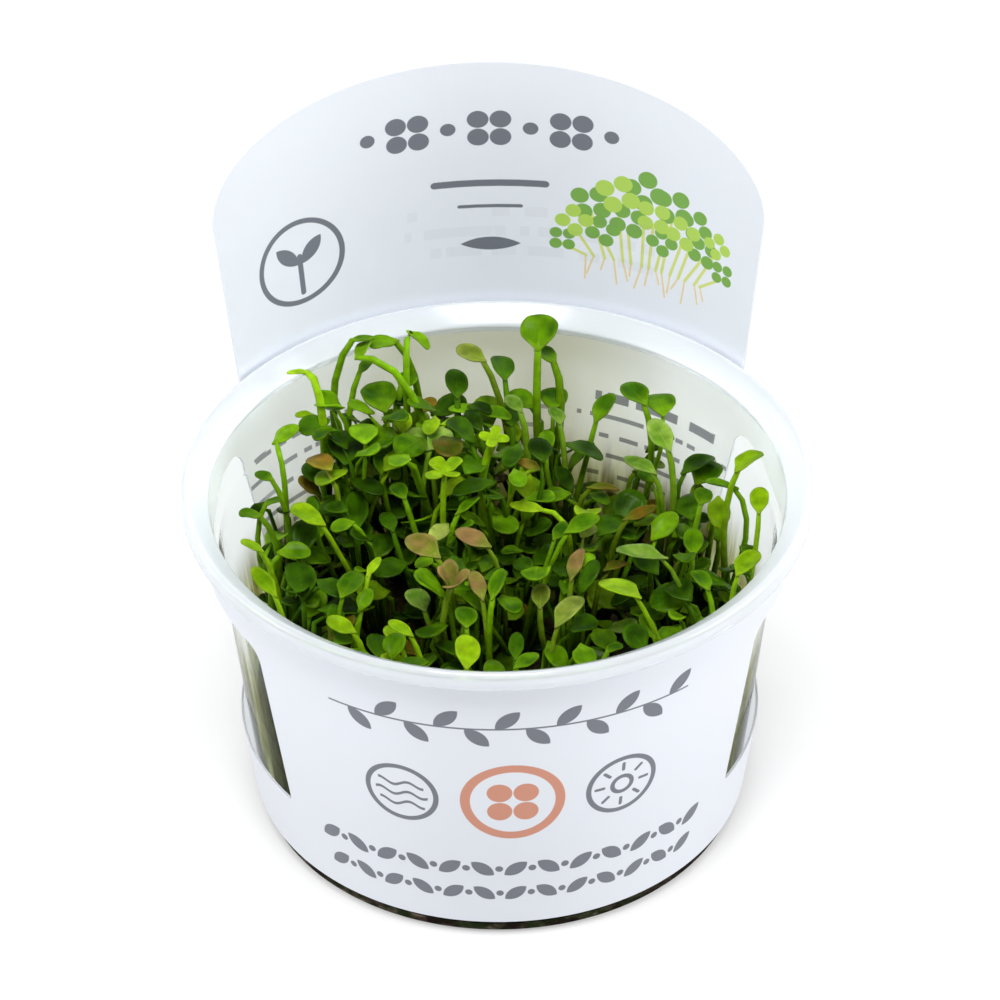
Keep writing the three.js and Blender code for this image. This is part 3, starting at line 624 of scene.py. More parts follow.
class Series:
    """A repeatable series of numbers between 0 and 1."""

    MULTIPLIER = 16807
    MODULUS = 2147483647

    def __init__(self, start):
        self.state = start

    def chance(self):
        """The next number."""
        self.state = self.state * self.MULTIPLIER % self.MODULUS
        return self.state / self.MODULUS

    def between(self, limits):
        """The next number, spread between two limits."""
        least, most = limits
        return least + (most - least) * self.chance()


def blade_share(kind, t):
    """The blade's half width along its length, as a share of half its full width."""
    fullest = FULLEST[kind]
    s = t / fullest if t < fullest else (1 - t) / (1 - fullest)
    return math.sqrt(max(0, s * (2 - s)))


def blade_direction(heading, rise):
    """The direction that a blade points in."""
    flat = math.cos(math.radians(rise))
    return flat * flat_direction(heading) + math.sin(math.radians(rise)) * UP


def foot_of(plantlet, i):
    """A stalk's foot on its crown: the feet share out the circle, and the first is under its neck."""
    x, y = plantlet["place"]
    first = plantlet["fronds"][0]["neck"]
    feet = max(MOST_FRONDS, plantlet["solid_fronds"])
    turn = math.atan2(first[1] - y, first[0] - x) + i * 2 * math.pi / feet
    return np.array([x + FOOT_SPREAD * math.cos(turn), y + FOOT_SPREAD * math.sin(turn), FOOT_HEIGHT])


def stalk_handles(plantlet, i):
    """The four handles of a stalk's centre line, from its foot to the neck."""
    f = plantlet["fronds"][i]
    foot = foot_of(plantlet, i)
    neck = f["neck"]
    reach = np.linalg.norm(neck - foot)
    arrive = unit(BLADE_PULL * blade_direction(f["heading"], f["rise"]) + UPWARD_PULL * UP)
    low = foot + RISING_HANDLE * reach * UP
    high = neck - ARRIVING_HANDLE * reach * arrive
    if f["arched"]:
        out = unit((neck - foot) * (1, 1, 0))
        high = neck - ARCH_HANDLE * reach * out
        high[2] = neck[2] + ARCH_HEIGHT * reach
    return foot, low, high, neck


def curve_points(handles, shares):
    """Points on a curve of four handles, one for each share of its length."""
    t = np.asarray(shares, float)[:, None]
    k = 1 - t
    a, b, c, d = handles
    return k * k * k * a + 3 * k * k * t * b + 3 * k * t * t * c + t * t * t * d


def frond_samples(plantlet, i):
    """Points along a frond, to keep the fronds of different plantlets apart."""
    f = plantlet["fronds"][i]
    steps = np.arange(STALK_SAMPLES + 1) / STALK_SAMPLES
    samples = list(curve_points(stalk_handles(plantlet, i), steps))
    blade = blade_direction(f["heading"], f["rise"])
    side = unit(np.cross(UP, blade))
    crosswise = f["kind"] == "clover"
    for along in BLADE_SAMPLES_ALONG:
        ahead = 2 * along - 1 if crosswise else along
        share = blade_share(f["kind"], min(along, LAST_FULL_SAMPLE))
        half_width = LEAFLET_REACH * f["length"] if crosswise else f["width"] / 2 * share
        middle = f["neck"] + ahead * f["length"] * blade
        for across in BLADE_SAMPLES_ACROSS:
            samples.append(middle + across * half_width * side)
    return np.array(samples)


def is_clear(samples, owner, standing, spacing):
    """True where a frond's samples keep clear of the wall and of what stands there and isn't its owner's."""
    for x, y, z in samples:
        if math.hypot(x, y) >= inner_wall(z) - WALL_SPACING:
            return False
    low = samples.min(0) - spacing
    high = samples.max(0) + spacing
    for other, others, other_low, other_high in standing:
        if other is owner or (other_low > high).any() or (other_high < low).any():
            continue
        gaps = np.linalg.norm(samples[:, None, :] - others[None, :, :], axis=2)
        if gaps.min() < spacing:
            return False
    return True


def stand(owner, samples, standing):
    """Notes a frond down as standing, so that later ones keep clear of it."""
    standing.append((owner, samples, samples.min(0), samples.max(0)))


def tone_for(number, shares):
    """The tone whose share of the numbers from 0 to 1 holds this number."""
    return next(tone for tone, share in shares.items() if number <= share)


def chance_frond(plantlet, series, growth, heights):
    """A frond of chance measures within the limits of a growth, with its neck between two heights."""
    x, y = plantlet["place"]
    turn = series.between((0, 360))
    reach = series.between(growth["reach"])
    height = series.between(heights)
    heading = turn + series.between(growth["swerve"])
    rise = series.between(growth["rise"])
    length = series.between(growth["length"])
    width = length * series.between(growth["width_share"])
    tone = tone_for(series.chance(), growth["tones"])
    neck = np.array([x, y, height]) + reach * flat_direction(turn)
    kind = "round" if width > ROUND_FROM_SHARE * length else "oval"
    return frond(kind, neck, heading, rise, length, width, tone)


def fill(plantlet, standing, series):
    """Adds smaller fronds to a plantlet where there is room, until it has two or three."""
    wanted = MOST_FRONDS if series.chance() < THIRD_FROND_SHARE else MOST_FRONDS - 1
    for _ in range(TRIES):
        if len(plantlet["fronds"]) >= wanted:
            break
        plantlet["fronds"].append(chance_frond(plantlet, series, FILLING, FILLING_HEIGHT))
        plantlet["solid_fronds"] = len(plantlet["fronds"])
        samples = frond_samples(plantlet, plantlet["solid_fronds"] - 1)
        if is_clear(samples, plantlet, standing, FROND_SPACING):
            stand(plantlet, samples, standing)
        else:
            plantlet["fronds"].pop()
            plantlet["solid_fronds"] = len(plantlet["fronds"])


def all_plantlets():
    """The plantlets above filled up with smaller fronds, then more of them where the medium is bare."""
    series = Series(FILLING_SEED)
    standing = []
    plantlets = []
    for place, rows in PLANTLETS:
        plantlets.append({"place": place, "fronds": [frond(*row) for row in rows], "solid_fronds": len(rows)})
    for plantlet in plantlets:
        for i in range(len(plantlet["fronds"])):
            stand(plantlet, frond_samples(plantlet, i), standing)
    for plantlet in plantlets:
        fill(plantlet, standing, series)
    for i in range(SPIRAL_PLACES):
        if len(plantlets) >= PLANTLETS_IN_ALL:
            break
        r = SPIRAL_RADIUS * math.sqrt((i + 0.5) / SPIRAL_PLACES)
        x, y, _ = r * flat_direction(i * GOLDEN_ANGLE)
        taken = any(math.hypot(p["place"][0] - x, p["place"][1] - y) < CROWN_SPACING for p in plantlets)
        plantlet = {"place": (x, y), "fronds": [], "solid_fronds": 0}
        if not taken:
            fill(plantlet, standing, series)
        if plantlet["fronds"]:
            plantlets.append(plantlet)
    return plantlets, standing


def undergrowth_at(x, y):
    """How many short fronds are tried on the crown at a place, and the heights of their necks."""
    if abs(x) > SIDE_CROWN:
        return SIDE_GROWTH
    if x < BACK_CROWN[0] and y > BACK_CROWN[1]:
        return BACK_GROWTH
    return MIDDLE_GROWTH


def add_undergrowth(plantlets, standing):
    """Short fronds between the tall ones, which only the fine model has."""
    series = Series(UNDERGROWTH_SEED)
    for plantlet in plantlets:
        tries, heights = undergrowth_at(*plantlet["place"])
        for _ in range(tries):
            extra = chance_frond(plantlet, series, UNDERGROWTH, heights)
            plantlet["fronds"].append(extra)
            blade = frond_samples(plantlet, len(plantlet["fronds"]) - 1)[STALK_SAMPLES:]
            if is_clear(blade, extra, standing, UNDERGROWTH_SPACING):
                stand(extra, blade, standing)
            else:
                plantlet["fronds"].pop()


# Templates that are bent into fronds

def map_faces(bm, place_on_leaf):
    """Maps each corner of a template to its place on a leaf, as (U across, V along)."""
    layer = bm.loops.layers.uv.new("leaf")
    for face in bm.faces:
        for loop in face.loops:
            loop[layer].uv = place_on_leaf(loop.vert.co)


def stalk_template(name, sides, steps):
    """A closed unit tube of rings along Z from 0 to 1, mapped so that V runs from -1 at the foot to 0."""
    bm = bmesh.new()
    bmesh.ops.create_cone(bm, cap_ends=True, segments=sides, radius1=1, radius2=1, depth=1)
    bmesh.ops.translate(bm, vec=(0, 0, 0.5), verts=bm.verts)
    upright = [edge for edge in bm.edges if abs(edge.verts[0].co.z - edge.verts[1].co.z) > 0.5]
    bmesh.ops.subdivide_edges(bm, edges=upright, cuts=steps - 1, use_grid_fill=True)
    bmesh.ops.recalc_face_normals(bm, faces=bm.faces)
    map_faces(bm, lambda co: (math.atan2(co.y, co.x) / math.tau + 0.5, co.z - 1))
    return finished_template(bm, name)


def blade_template(name, cells):
    """A thin closed disc of unit radius whose base is at Y -1 and tip at Y 1, with U across and V along."""
    bm = bmesh.new()
    bmesh.ops.create_grid(bm, x_segments=cells, y_segments=cells, size=1)
    for vert in bm.verts:
        a, b = vert.co.x, vert.co.y
        vert.co.x = a * math.sqrt(1 - b * b / 2)
        vert.co.y = b * math.sqrt(1 - a * a / 2)
    bmesh.ops.solidify(bm, geom=list(bm.faces), thickness=1)
    bmesh.ops.recalc_face_normals(bm, faces=bm.faces)
    middle = sum(vert.co.z for vert in bm.verts) / len(bm.verts)
    for vert in bm.verts:
        vert.co.z -= middle
    map_faces(bm, lambda co: (0.5 + 0.5 * co.x, 0.5 + 0.5 * co.y))
    return finished_template(bm, name)


def knot_template(name):
    """A rough knot of rootstock of unit radius, mapped as the foot of a stalk."""
    bm = bmesh.new()
    bmesh.ops.create_icosphere(bm, subdivisions=2, radius=1)
    for vert in bm.verts:
        vert.co *= 1 + KNOT_ROUGHNESS * noise.noise(KNOT_FINENESS * vert.co)
    map_faces(bm, lambda co: (0.5, -1))
    return finished_template(bm, name)


def finished_template(bm, name):
    """A template mesh with smooth faces and a place for each frond's own tint."""
    bm.verts.layers.float.new("tint")
    for face in bm.faces:
        face.smooth = True
    mesh = bpy.data.meshes.new(name)
    bm.to_mesh(mesh)
    bm.free()
    return mesh


def all_templates():
    """The stalk and blade of a frond that stands out and of a small one, and a crown's knot."""
    return {
        "fine": (stalk_template("fine_stalk", *FINE_STALK), blade_template("fine_blade", FINE_BLADE)),
        "small": (stalk_template("small_stalk", *SMALL_STALK), blade_template("small_blade", SMALL_BLADE)),
        "knot": knot_template("knot"),
    }


def template_points(template):
    """A template's vertices as an array."""
    points = np.empty(3 * len(template.vertices))
    template.vertices.foreach_get("co", points)
    return points.reshape(-1, 3)


def place_template(bm, template, points, tint, material_index):
    """Adds a template to a mesh with its vertices moved to the given points."""
    first_vert = len(bm.verts)
    first_face = len(bm.faces)
    bm.from_mesh(template)
    bm.verts.ensure_lookup_table()
    bm.faces.ensure_lookup_table()
    layer = bm.verts.layers.float["tint"]
    for vert, point in zip(bm.verts[first_vert:], points):
        vert.co = point
        vert[layer] = tint
    for face in bm.faces[first_face:]:
        face.material_index = material_index


# Fronds

def smooth_step(t):
    """A smooth rise from 0 to 1."""
    t = max(0.0, min(1.0, t))
    return t * t * (3 - 2 * t)


def stalk_points(template, handles, midrib, radii, sag):
    """A template tube bent along a curve up to the neck, and on below the blade as a midrib."""
    unit_points = template_points(template)
    shares = np.unique(np.round(unit_points[:, 2], 6))
    risen = np.minimum(shares / NECK_SHARE, 1)
    beyond = np.maximum(shares - NECK_SHARE, 0) / (1 - NECK_SHARE)
    centres = curve_points(handles, risen) + sag(risen) + beyond[:, None] * midrib
    tangents = np.gradient(centres, axis=0)
    placed = np.empty_like(unit_points)
    for share, centre, tangent in zip(shares, centres, tangents):
        along = unit(tangent)
        side = unit(np.cross(along, OFF_STALK))
        other = np.cross(along, side)
        ring = np.abs(unit_points[:, 2] - share) < SAME_RING
        x, y = unit_points[ring, 0, None], unit_points[ring, 1, None]
        placed[ring] = centre + radii(share) * (x * side + y * other)
    return placed


def blade_points(template, f, heading, rise, roll, cup, droop, wave):
    """A template disc shaped into a blade: its outline, its cupped and drooping face, and its thickness."""
    length, width = f["length"], f["width"]
    along = blade_direction(heading, rise)
    right = unit(np.cross(along, UP))
    up = np.cross(right, along)
    c, s = math.cos(roll), math.sin(roll)
    right, up = c * right + s * up, c * up - s * right
    placed = []
    for x, y, z in template_points(template):
        share = (y + 1) / 2
        full = math.sqrt(max(1e-4, 4 * share * (1 - share)))
        outline = blade_share(f["kind"], min(max(share, OUTLINE_ENDS[0]), OUTLINE_ENDS[1])) / full
        waist = BLADE_FOOT_WIDTH + (1 - BLADE_FOOT_WIDTH) * smooth_step(share / BLADE_WAIST)
        across = x * (width / 2 * outline * waist)
        ahead = length * (share - BLADE_SET_BACK * (1 - share) ** 3)
        height = cup * (across * across) / (width / 2) - droop * length * share * share
        ripple = math.sin(RIPPLES_ALONG * share + RIPPLES_ACROSS * x)
        height += wave * ripple * abs(x) * width * RIPPLE_HEIGHT
        lean = np.array([2 * cup * across / (width / 2), -2 * droop * share])
        normal = unit(up - lean[0] * right - lean[1] * along)
        inner = 1 - min(1, abs(x)) ** 4
        thickness = BLADE_THICKNESS * (BLADE_RIM_THICKNESS + (1 - BLADE_RIM_THICKNESS) * inner)
        placed.append(f["neck"] + ahead * along + across * right + height * up + z * thickness * normal)
    return placed


def frond_tint(f, stands_out, draw):
    """How light a frond is, from -1 to 1. Those that stand out vary less, and their lime ones are light."""
    tint = draw.uniform(*TINT)
    if f["arched"]:
        return ARCHED_TINT
    if stands_out:
        tint *= STEADY_TINT
        if f["tone"] == "lime":
            tint = abs(tint)
    return tint


def add_stalk(bm, f, handles, template, tint, draw):
    """Builds a frond's stalk, with a sheath at its foot and a midrib beyond its neck."""
    sway = 0 if f["arched"] else draw.uniform(*SWAY)
    sway_direction = flat_direction(draw.uniform(0, 360))
    girth = draw.uniform(*GIRTH)
    if f["neck"][2] > TALL_NECK:
        girth *= TALL_STALK

    def radii(share):
        base = STALK_FOOT_RADIUS + (STALK_NECK_RADIUS - STALK_FOOT_RADIUS) * share
        sheath = 1 + STALK_SHEATH * smooth_step(1 - share / SHEATH_SHARE)
        taper = 1 - MIDRIB_TAPER * smooth_step((share - NECK_SHARE) / (1 - NECK_SHARE))
        return girth * base * sheath * taper

    def sag(shares):
        return (sway * np.sin(math.pi * shares) ** 2)[:, None] * sway_direction

    if f["kind"] == "clover":
        midrib = CLOVER_KNOB * UP
    else:
        midrib = MIDRIB_SHARE * f["length"] * blade_direction(f["heading"], f["rise"]) - MIDRIB_DROP * UP
    points = stalk_points(template, handles, midrib, radii, sag)
    place_template(bm, template, points, tint, TONES.index(f["tone"]))


def add_frond(bm, plantlet, i, templates, draw):
    """Builds one frond of a plantlet: its stalk, and its blade or its leaflets."""
    f = plantlet["fronds"][i]
    stands_out = i < plantlet["solid_fronds"]
    stalk, blade = templates["fine" if stands_out else "small"]
    tint = frond_tint(f, stands_out, draw)
    add_stalk(bm, f, stalk_handles(plantlet, i), stalk, tint, draw)
    leaflets = LEAFLETS if f["kind"] == "clover" else 1
    for leaflet in range(leaflets):
        heading = f["heading"]
        rise = f["rise"]
        if leaflets > 1:
            heading += 360 / leaflets * (leaflet + 0.5)
            rise += draw.uniform(*LEAFLET_RISE) + FOLDED_RISE.get(f["tone"], 0)
        roll = math.radians(draw.uniform(*ROLL))
        cup = draw.uniform(*CUPPING)
        droop = draw.uniform(*DROOP)
        wave = draw.uniform(*WAVE)
        points = blade_points(blade, f, heading, rise, roll, cup, droop, wave)
        place_template(bm, blade, points, tint, TONES.index(f["tone"]))


def plantlet_piece(number, plantlet, templates, materials, draw):
    """A plantlet as one piece: a knot of rootstock and the fronds that rise from it."""
    bm = bmesh.new()
    knot = template_points(templates["knot"]) * (CROWN_RADIUS, CROWN_RADIUS, CROWN_THICKNESS / 2)
    knot = knot + (*plantlet["place"], FOOT_HEIGHT)
    place_template(bm, templates["knot"], knot, draw.uniform(*TINT), TONES.index("rust"))
    for i in range(len(plantlet["fronds"])):
        add_frond(bm, plantlet, i, templates, draw)
    name = f"plantlet_{number:02d}"
    piece = finished_piece(bm, "clover_" + name, [materials["foliage_" + tone] for tone in TONES])
    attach(piece, "root")
    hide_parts(name)


def finished_piece(bm, name, materials):
    """An object at the origin from a mesh in millimetres, with its materials."""
    bmesh.ops.scale(bm, vec=(MM, MM, MM), verts=bm.verts)
    mesh = bpy.data.meshes.new(name)
    bm.to_mesh(mesh)
    bm.free()
    for material in materials:
        mesh.materials.append(material)
    piece = bpy.data.objects.new(name, mesh)
    bpy.context.scene.collection.objects.link(piece)
    return piece


# Cup and medium

def spun(profile, steps):
    """A closed turned solid from a profile that starts and ends on the axis, as (radius, height)."""
    bm = bmesh.new()
    points = [bm.verts.new((r, 0, z)) for r, z in profile]
    edges = [bm.edges.new(pair) for pair in zip(points, points[1:])]
    bmesh.ops.spin(
        bm, geom=points + edges, cent=(0, 0, 0), axis=(0, 0, 1), dvec=(0, 0, 0),
        angle=math.tau, steps=steps, use_merge=True, use_duplicate=False,
    )
    bmesh.ops.remove_doubles(bm, verts=bm.verts, dist=SPUN_WELD)
    bmesh.ops.dissolve_degenerate(bm, edges=bm.edges, dist=SHORTEST_EDGE)
    bmesh.ops.recalc_face_normals(bm, faces=bm.faces)
    for face in bm.faces:
        face.smooth = True
    return bm


def round_turned_edges(bm):
    """Rounds the turned edges that are sharp."""
    sharp = []
    for edge in bm.edges:
        level = abs(edge.verts[0].co.z - edge.verts[1].co.z) < SPUN_WELD
        if level and edge.is_manifold and edge.calc_face_angle(0) > math.radians(SHARP_ANGLE):
            sharp.append(edge)
    bmesh.ops.bevel(
        bm, geom=sharp, offset=EDGE_ROUNDING, offset_type="OFFSET", segments=EDGE_SEGMENTS,
        profile=0.5, affect="EDGES", material=-1, clamp_overlap=True,
    )
    for face in bm.faces:
        face.smooth = True


def cup_piece(materials):
    """The cup: a tapering wall with a stacking ledge, and a rim that slopes in from a rolled edge."""
    wall_foot = FLOOR_RADIUS + WALL
    ledge_out = LEDGE_RADIUS + WALL
    skirt_inside = RIM_RADIUS - RIM_EDGE
    skirt_bottom = CUP_HEIGHT - SKIRT_HEIGHT
    rim_foot = RIM_INNER_HEIGHT - 2 * WALL
    bm = spun(
        [
            (0, 0),
            (wall_foot - FOOT_CHAMFER, 0),
            (wall_foot, FOOT_CHAMFER),
            (ledge_out, LEDGE_HEIGHT - LEDGE_DROP),
            (ledge_out + LEDGE_STEP, LEDGE_HEIGHT),
            (RIM_INNER_RADIUS + WALL, rim_foot),
            (skirt_inside, CUP_HEIGHT - 1.5 * WALL),
            (skirt_inside, skirt_bottom),
            (RIM_RADIUS, skirt_bottom),
            (RIM_RADIUS, CUP_HEIGHT - RIM_ROUNDING),
            (RIM_RADIUS - RIM_ROUNDING, CUP_HEIGHT),
            (skirt_inside, CUP_HEIGHT),
            (RIM_INNER_RADIUS + RIM_ROUNDING, RIM_INNER_HEIGHT + RIM_ROUNDING),
            (RIM_INNER_RADIUS, RIM_INNER_HEIGHT),
            (LEDGE_RADIUS + LEDGE_STEP, LEDGE_HEIGHT + LEDGE_DROP),
            (LEDGE_RADIUS, LEDGE_HEIGHT),
            (FLOOR_RADIUS, FLOOR),
            (0, FLOOR),
        ],
        CUP_STEPS,
    )
    round_turned_edges(bm)
    for face in bm.faces:
        face.material_index = 1 if face.calc_center_median().z > rim_foot else 0
    piece = finished_piece(bm, "clear_cup", [materials["clear_plastic"], materials["rim_plastic"]])
    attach(piece, "root")
    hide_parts("cup")


def medium_piece(materials):
    """The medium: a moist, root-bound plug with an uneven top."""
    bottom = FLOOR + GAP
    edge = inner_wall(MEDIUM_TOP) - GAP
    profile = [(0, bottom)]
    for level in (bottom, *MEDIUM_SIDE_LEVELS):
        profile.append((inner_wall(level) - GAP, level))
    for ring in range(MEDIUM_RINGS + 1):
        profile.append((edge * (1 - ring / MEDIUM_RINGS), MEDIUM_TOP - MEDIUM_SETTLING))
    bm = spun(profile, MEDIUM_STEPS)
    for vert in bm.verts:
        co = vert.co
        if co.z > MEDIUM_TOP - 1:
            lumps = sum(height * noise.noise(fineness * co) for fineness, height in MEDIUM_LUMPS)
            co.z += min(MEDIUM_HIGHEST_LUMP, MEDIUM_RELIEF * lumps - MEDIUM_SINK)
    piece = finished_piece(bm, "medium_plug", [materials["medium"]])
    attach(piece, "root")
    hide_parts("growth_medium")


# Card sleeve

def header_side(from_back):
    """How far from the middle of the back the header ends, on the side of a given angle."""
    return HEADER_LEFT_ANGLE if from_back > 0 else HEADER_HALF_ANGLE


def column_angles():
    """The sleeve's columns by their angle from the middle of its back, closer at the header's sides."""
    angles = [-180]
    for i in reversed(range(1, SIDE_COLUMNS)):
        angles.append(-HEADER_HALF_ANGLE - (180 - HEADER_HALF_ANGLE) * i / SIDE_COLUMNS)
    for i in range(BACK_COLUMNS + 1):
        share = math.sin(math.pi * (i / BACK_COLUMNS - 0.5))
        angles.append(share * header_side(share))
    for i in range(1, SIDE_COLUMNS + 1):
        angles.append(HEADER_LEFT_ANGLE + (180 - HEADER_LEFT_ANGLE) * i / SIDE_COLUMNS)
    return angles


def sleeve_radius(from_back, z):
    """The sleeve's outer radius below the rim. Its back panel leans out to pass outside the rim."""
    hugging = SLEEVE_BOTTOM_RADIUS + SLEEVE_SLOPE * (z - SLEEVE_BOTTOM)
    hugging_top = SLEEVE_BOTTOM_RADIUS + SLEEVE_SLOPE * (SLEEVE_TOP - SLEEVE_BOTTOM)
    stand_off = HEADER_RADIUS - hugging_top
    bulge = smooth_step((BULGE_END_ANGLE - abs(from_back)) / (BULGE_END_ANGLE - HEADER_HALF_ANGLE))
    return hugging + bulge * stand_off * (z - SLEEVE_BOTTOM) / (SLEEVE_TOP - SLEEVE_BOTTOM)


def header_top(from_back):
    """The header's top edge: a flat arch, a little lopsided, that ends square on the card's two sides."""
    share = from_back / header_side(from_back)
    arch = HEADER_LEFT_ARCH if from_back > 0 else HEADER_ARCH
    return HEADER_TOP - arch * (1 - math.sqrt(max(0, 1 - share * share)))


def on_sleeve(from_back, radius, z):
    """A point of the card at an angle from the middle of its back."""
    turn = math.radians(from_back + SLEEVE_TURN)
    return Vector((-radius * math.sin(turn), radius * math.cos(turn), z))


def window_nearest(from_back, z):
    """How far inside the window's outline a point of the card lies, and the outline's nearest point."""
    radius = sleeve_radius(from_back, z)
    offset = radius * math.cos(math.radians(from_back))
    share = (z - WINDOW_BOTTOM) / (WINDOW_TOP - WINDOW_BOTTOM)
    half = WINDOW_HALF_BOTTOM + (WINDOW_HALF_TOP - WINDOW_HALF_BOTTOM) * share
    corner = WINDOW_CORNER if share > 0.5 else WINDOW_FOOT_CORNER
    middle = (WINDOW_TOP + WINDOW_BOTTOM) / 2
    tall = (WINDOW_TOP - WINDOW_BOTTOM) / 2
    px, pz = abs(offset), abs(z - middle)
    qx, qz = min(px, half - corner), min(pz, tall - corner)
    reach = math.hypot(px - qx, pz - qz)
    if reach < 1e-6:
        inside = corner + min(half - corner - px, tall - corner - pz)
        nx, nz = (half, pz) if half - px < tall - pz else (px, tall)
    else:
        inside = corner - reach
        nx = qx + corner * (px - qx) / reach
        nz = qz + corner * (pz - qz) / reach
    new_z = middle + math.copysign(nz, z - middle)
    cosine = math.copysign(nx, offset) / sleeve_radius(from_back, new_z)
    new_angle = math.copysign(math.degrees(math.acos(max(-1, min(1, cosine)))), from_back)
    return inside, new_angle, new_z


def body_sheet(angles):
    """The sleeve's wall as a flat grid of (angle, height), with its two windows cut out."""
    bm = bmesh.new()
    columns = len(angles) - 1
    bmesh.ops.create_grid(bm, x_segments=columns, y_segments=SLEEVE_CELLS, size=1)
    for vert in bm.verts:
        column = round((vert.co.x + 1) / 2 * columns)
        share = (vert.co.y + 1) / 2
        vert.co = (angles[column], SLEEVE_BOTTOM + (SLEEVE_TOP - SLEEVE_BOTTOM) * share, 0)
    cut = []
    for face in bm.faces:
        centre = face.calc_center_median()
        if window_nearest(centre.x, centre.y)[0] > 0:
            cut.append(face)
    bmesh.ops.delete(bm, geom=cut, context="FACES")
    for vert in bm.verts:
        angle, z, _ = vert.co
        within = SLEEVE_BOTTOM + CARD_MARGIN < z < SLEEVE_TOP - CARD_MARGIN and abs(angle) < LAST_ANGLE
        if vert.is_boundary and within:
            _, angle, z = window_nearest(angle, z)
            vert.co = (angle, z, 0)
    return bm


def header_sheet(bm, angles):
    """Adds the header above the back panel as a flat grid of (angle, share of its height, 1)."""
    back = [angle for angle in angles if abs(angle) < header_side(angle) + SAME_ANGLE]
    columns = len(back) - 1
    made = bmesh.ops.create_grid(bm, x_segments=columns, y_segments=HEADER_CELLS, size=1)
    for vert in made["verts"]:
        column = round((vert.co.x + 1) / 2 * columns)
        vert.co = (back[column], (vert.co.y + 1) / 2, 1)


def bend_sheet(bm):
    """Bends the flat grids round the cup and joins them."""
    for vert in bm.verts:
        angle, height, is_header = vert.co
        if is_header > 0.5:
            z = SLEEVE_TOP + (header_top(angle) - SLEEVE_TOP) * height
            radius = HEADER_RADIUS + HEADER_SLOPE * (z - SLEEVE_TOP)
        else:
            z = height
            radius = sleeve_radius(angle, z)
        vert.co = on_sleeve(angle, radius, z)
    bmesh.ops.remove_doubles(bm, verts=bm.verts, dist=SHEET_WELD)


def map_print(bm):
    """Two maps: one from the middle of the sleeve's front and one from the middle of the header's inside."""
    front = bm.loops.layers.uv.new("front_print")
    back = bm.loops.layers.uv.new("back_print")
    for face in bm.faces:
        middle = face.calc_center_median()
        middle_turn = math.atan2(-middle.x, middle.y) - math.radians(SLEEVE_TURN)
        for loop in face.loops:
            co = loop.vert.co
            turn = math.atan2(-co.x, co.y) - math.radians(SLEEVE_TURN)
            turn = middle_turn + math.remainder(turn - middle_turn, math.tau)
            from_back = math.remainder(middle_turn, math.tau) + turn - middle_turn
            from_front = math.remainder(middle_turn - math.pi, math.tau) + turn - middle_turn
            loop[front].uv = (PRINT_RADIUS * from_front / MAP_UNIT, co.z / MAP_UNIT)
            loop[back].uv = (-PRINT_RADIUS * from_back / MAP_UNIT, co.z / MAP_UNIT)


def card_side(face):
    """Which side of the card a face belongs to."""
    centre = face.calc_center_median()
    facing = face.normal.xy.dot(centre.xy.normalized())
    if abs(facing) < 0.5:
        return "card_edge"
    if facing > 0:
        return "card_front" if centre.y < 0 else "card_back"
    return "header_inside" if centre.z > SLEEVE_TOP else "sleeve_inside"


def sleeve_piece(materials):
    """The sleeve and its header card, cut from one sheet, with its sides and cut edges told apart."""
    angles = column_angles()
    bm = body_sheet(angles)
    header_sheet(bm, angles)
    bend_sheet(bm)
    bmesh.ops.recalc_face_normals(bm, faces=bm.faces)
    first = bm.faces[:][0]
    if first.normal.xy.dot(first.calc_center_median().xy) < 0:
        bmesh.ops.reverse_faces(bm, faces=bm.faces)
    bmesh.ops.solidify(bm, geom=list(bm.faces), thickness=CARD)
    bm.normal_update()
    map_print(bm)
    cut_edge = CARD_SIDES.index("card_edge")
    for face in bm.faces:
        face.material_index = CARD_SIDES.index(card_side(face))
        face.smooth = face.material_index != cut_edge
    for edge in bm.edges:
        edge.smooth = len({face.material_index == cut_edge for face in edge.link_faces}) == 1
    piece = finished_piece(bm, "card_sleeve", [materials[side] for side in CARD_SIDES])
    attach(piece, "root")
    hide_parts("label_sleeve")


# Node trees

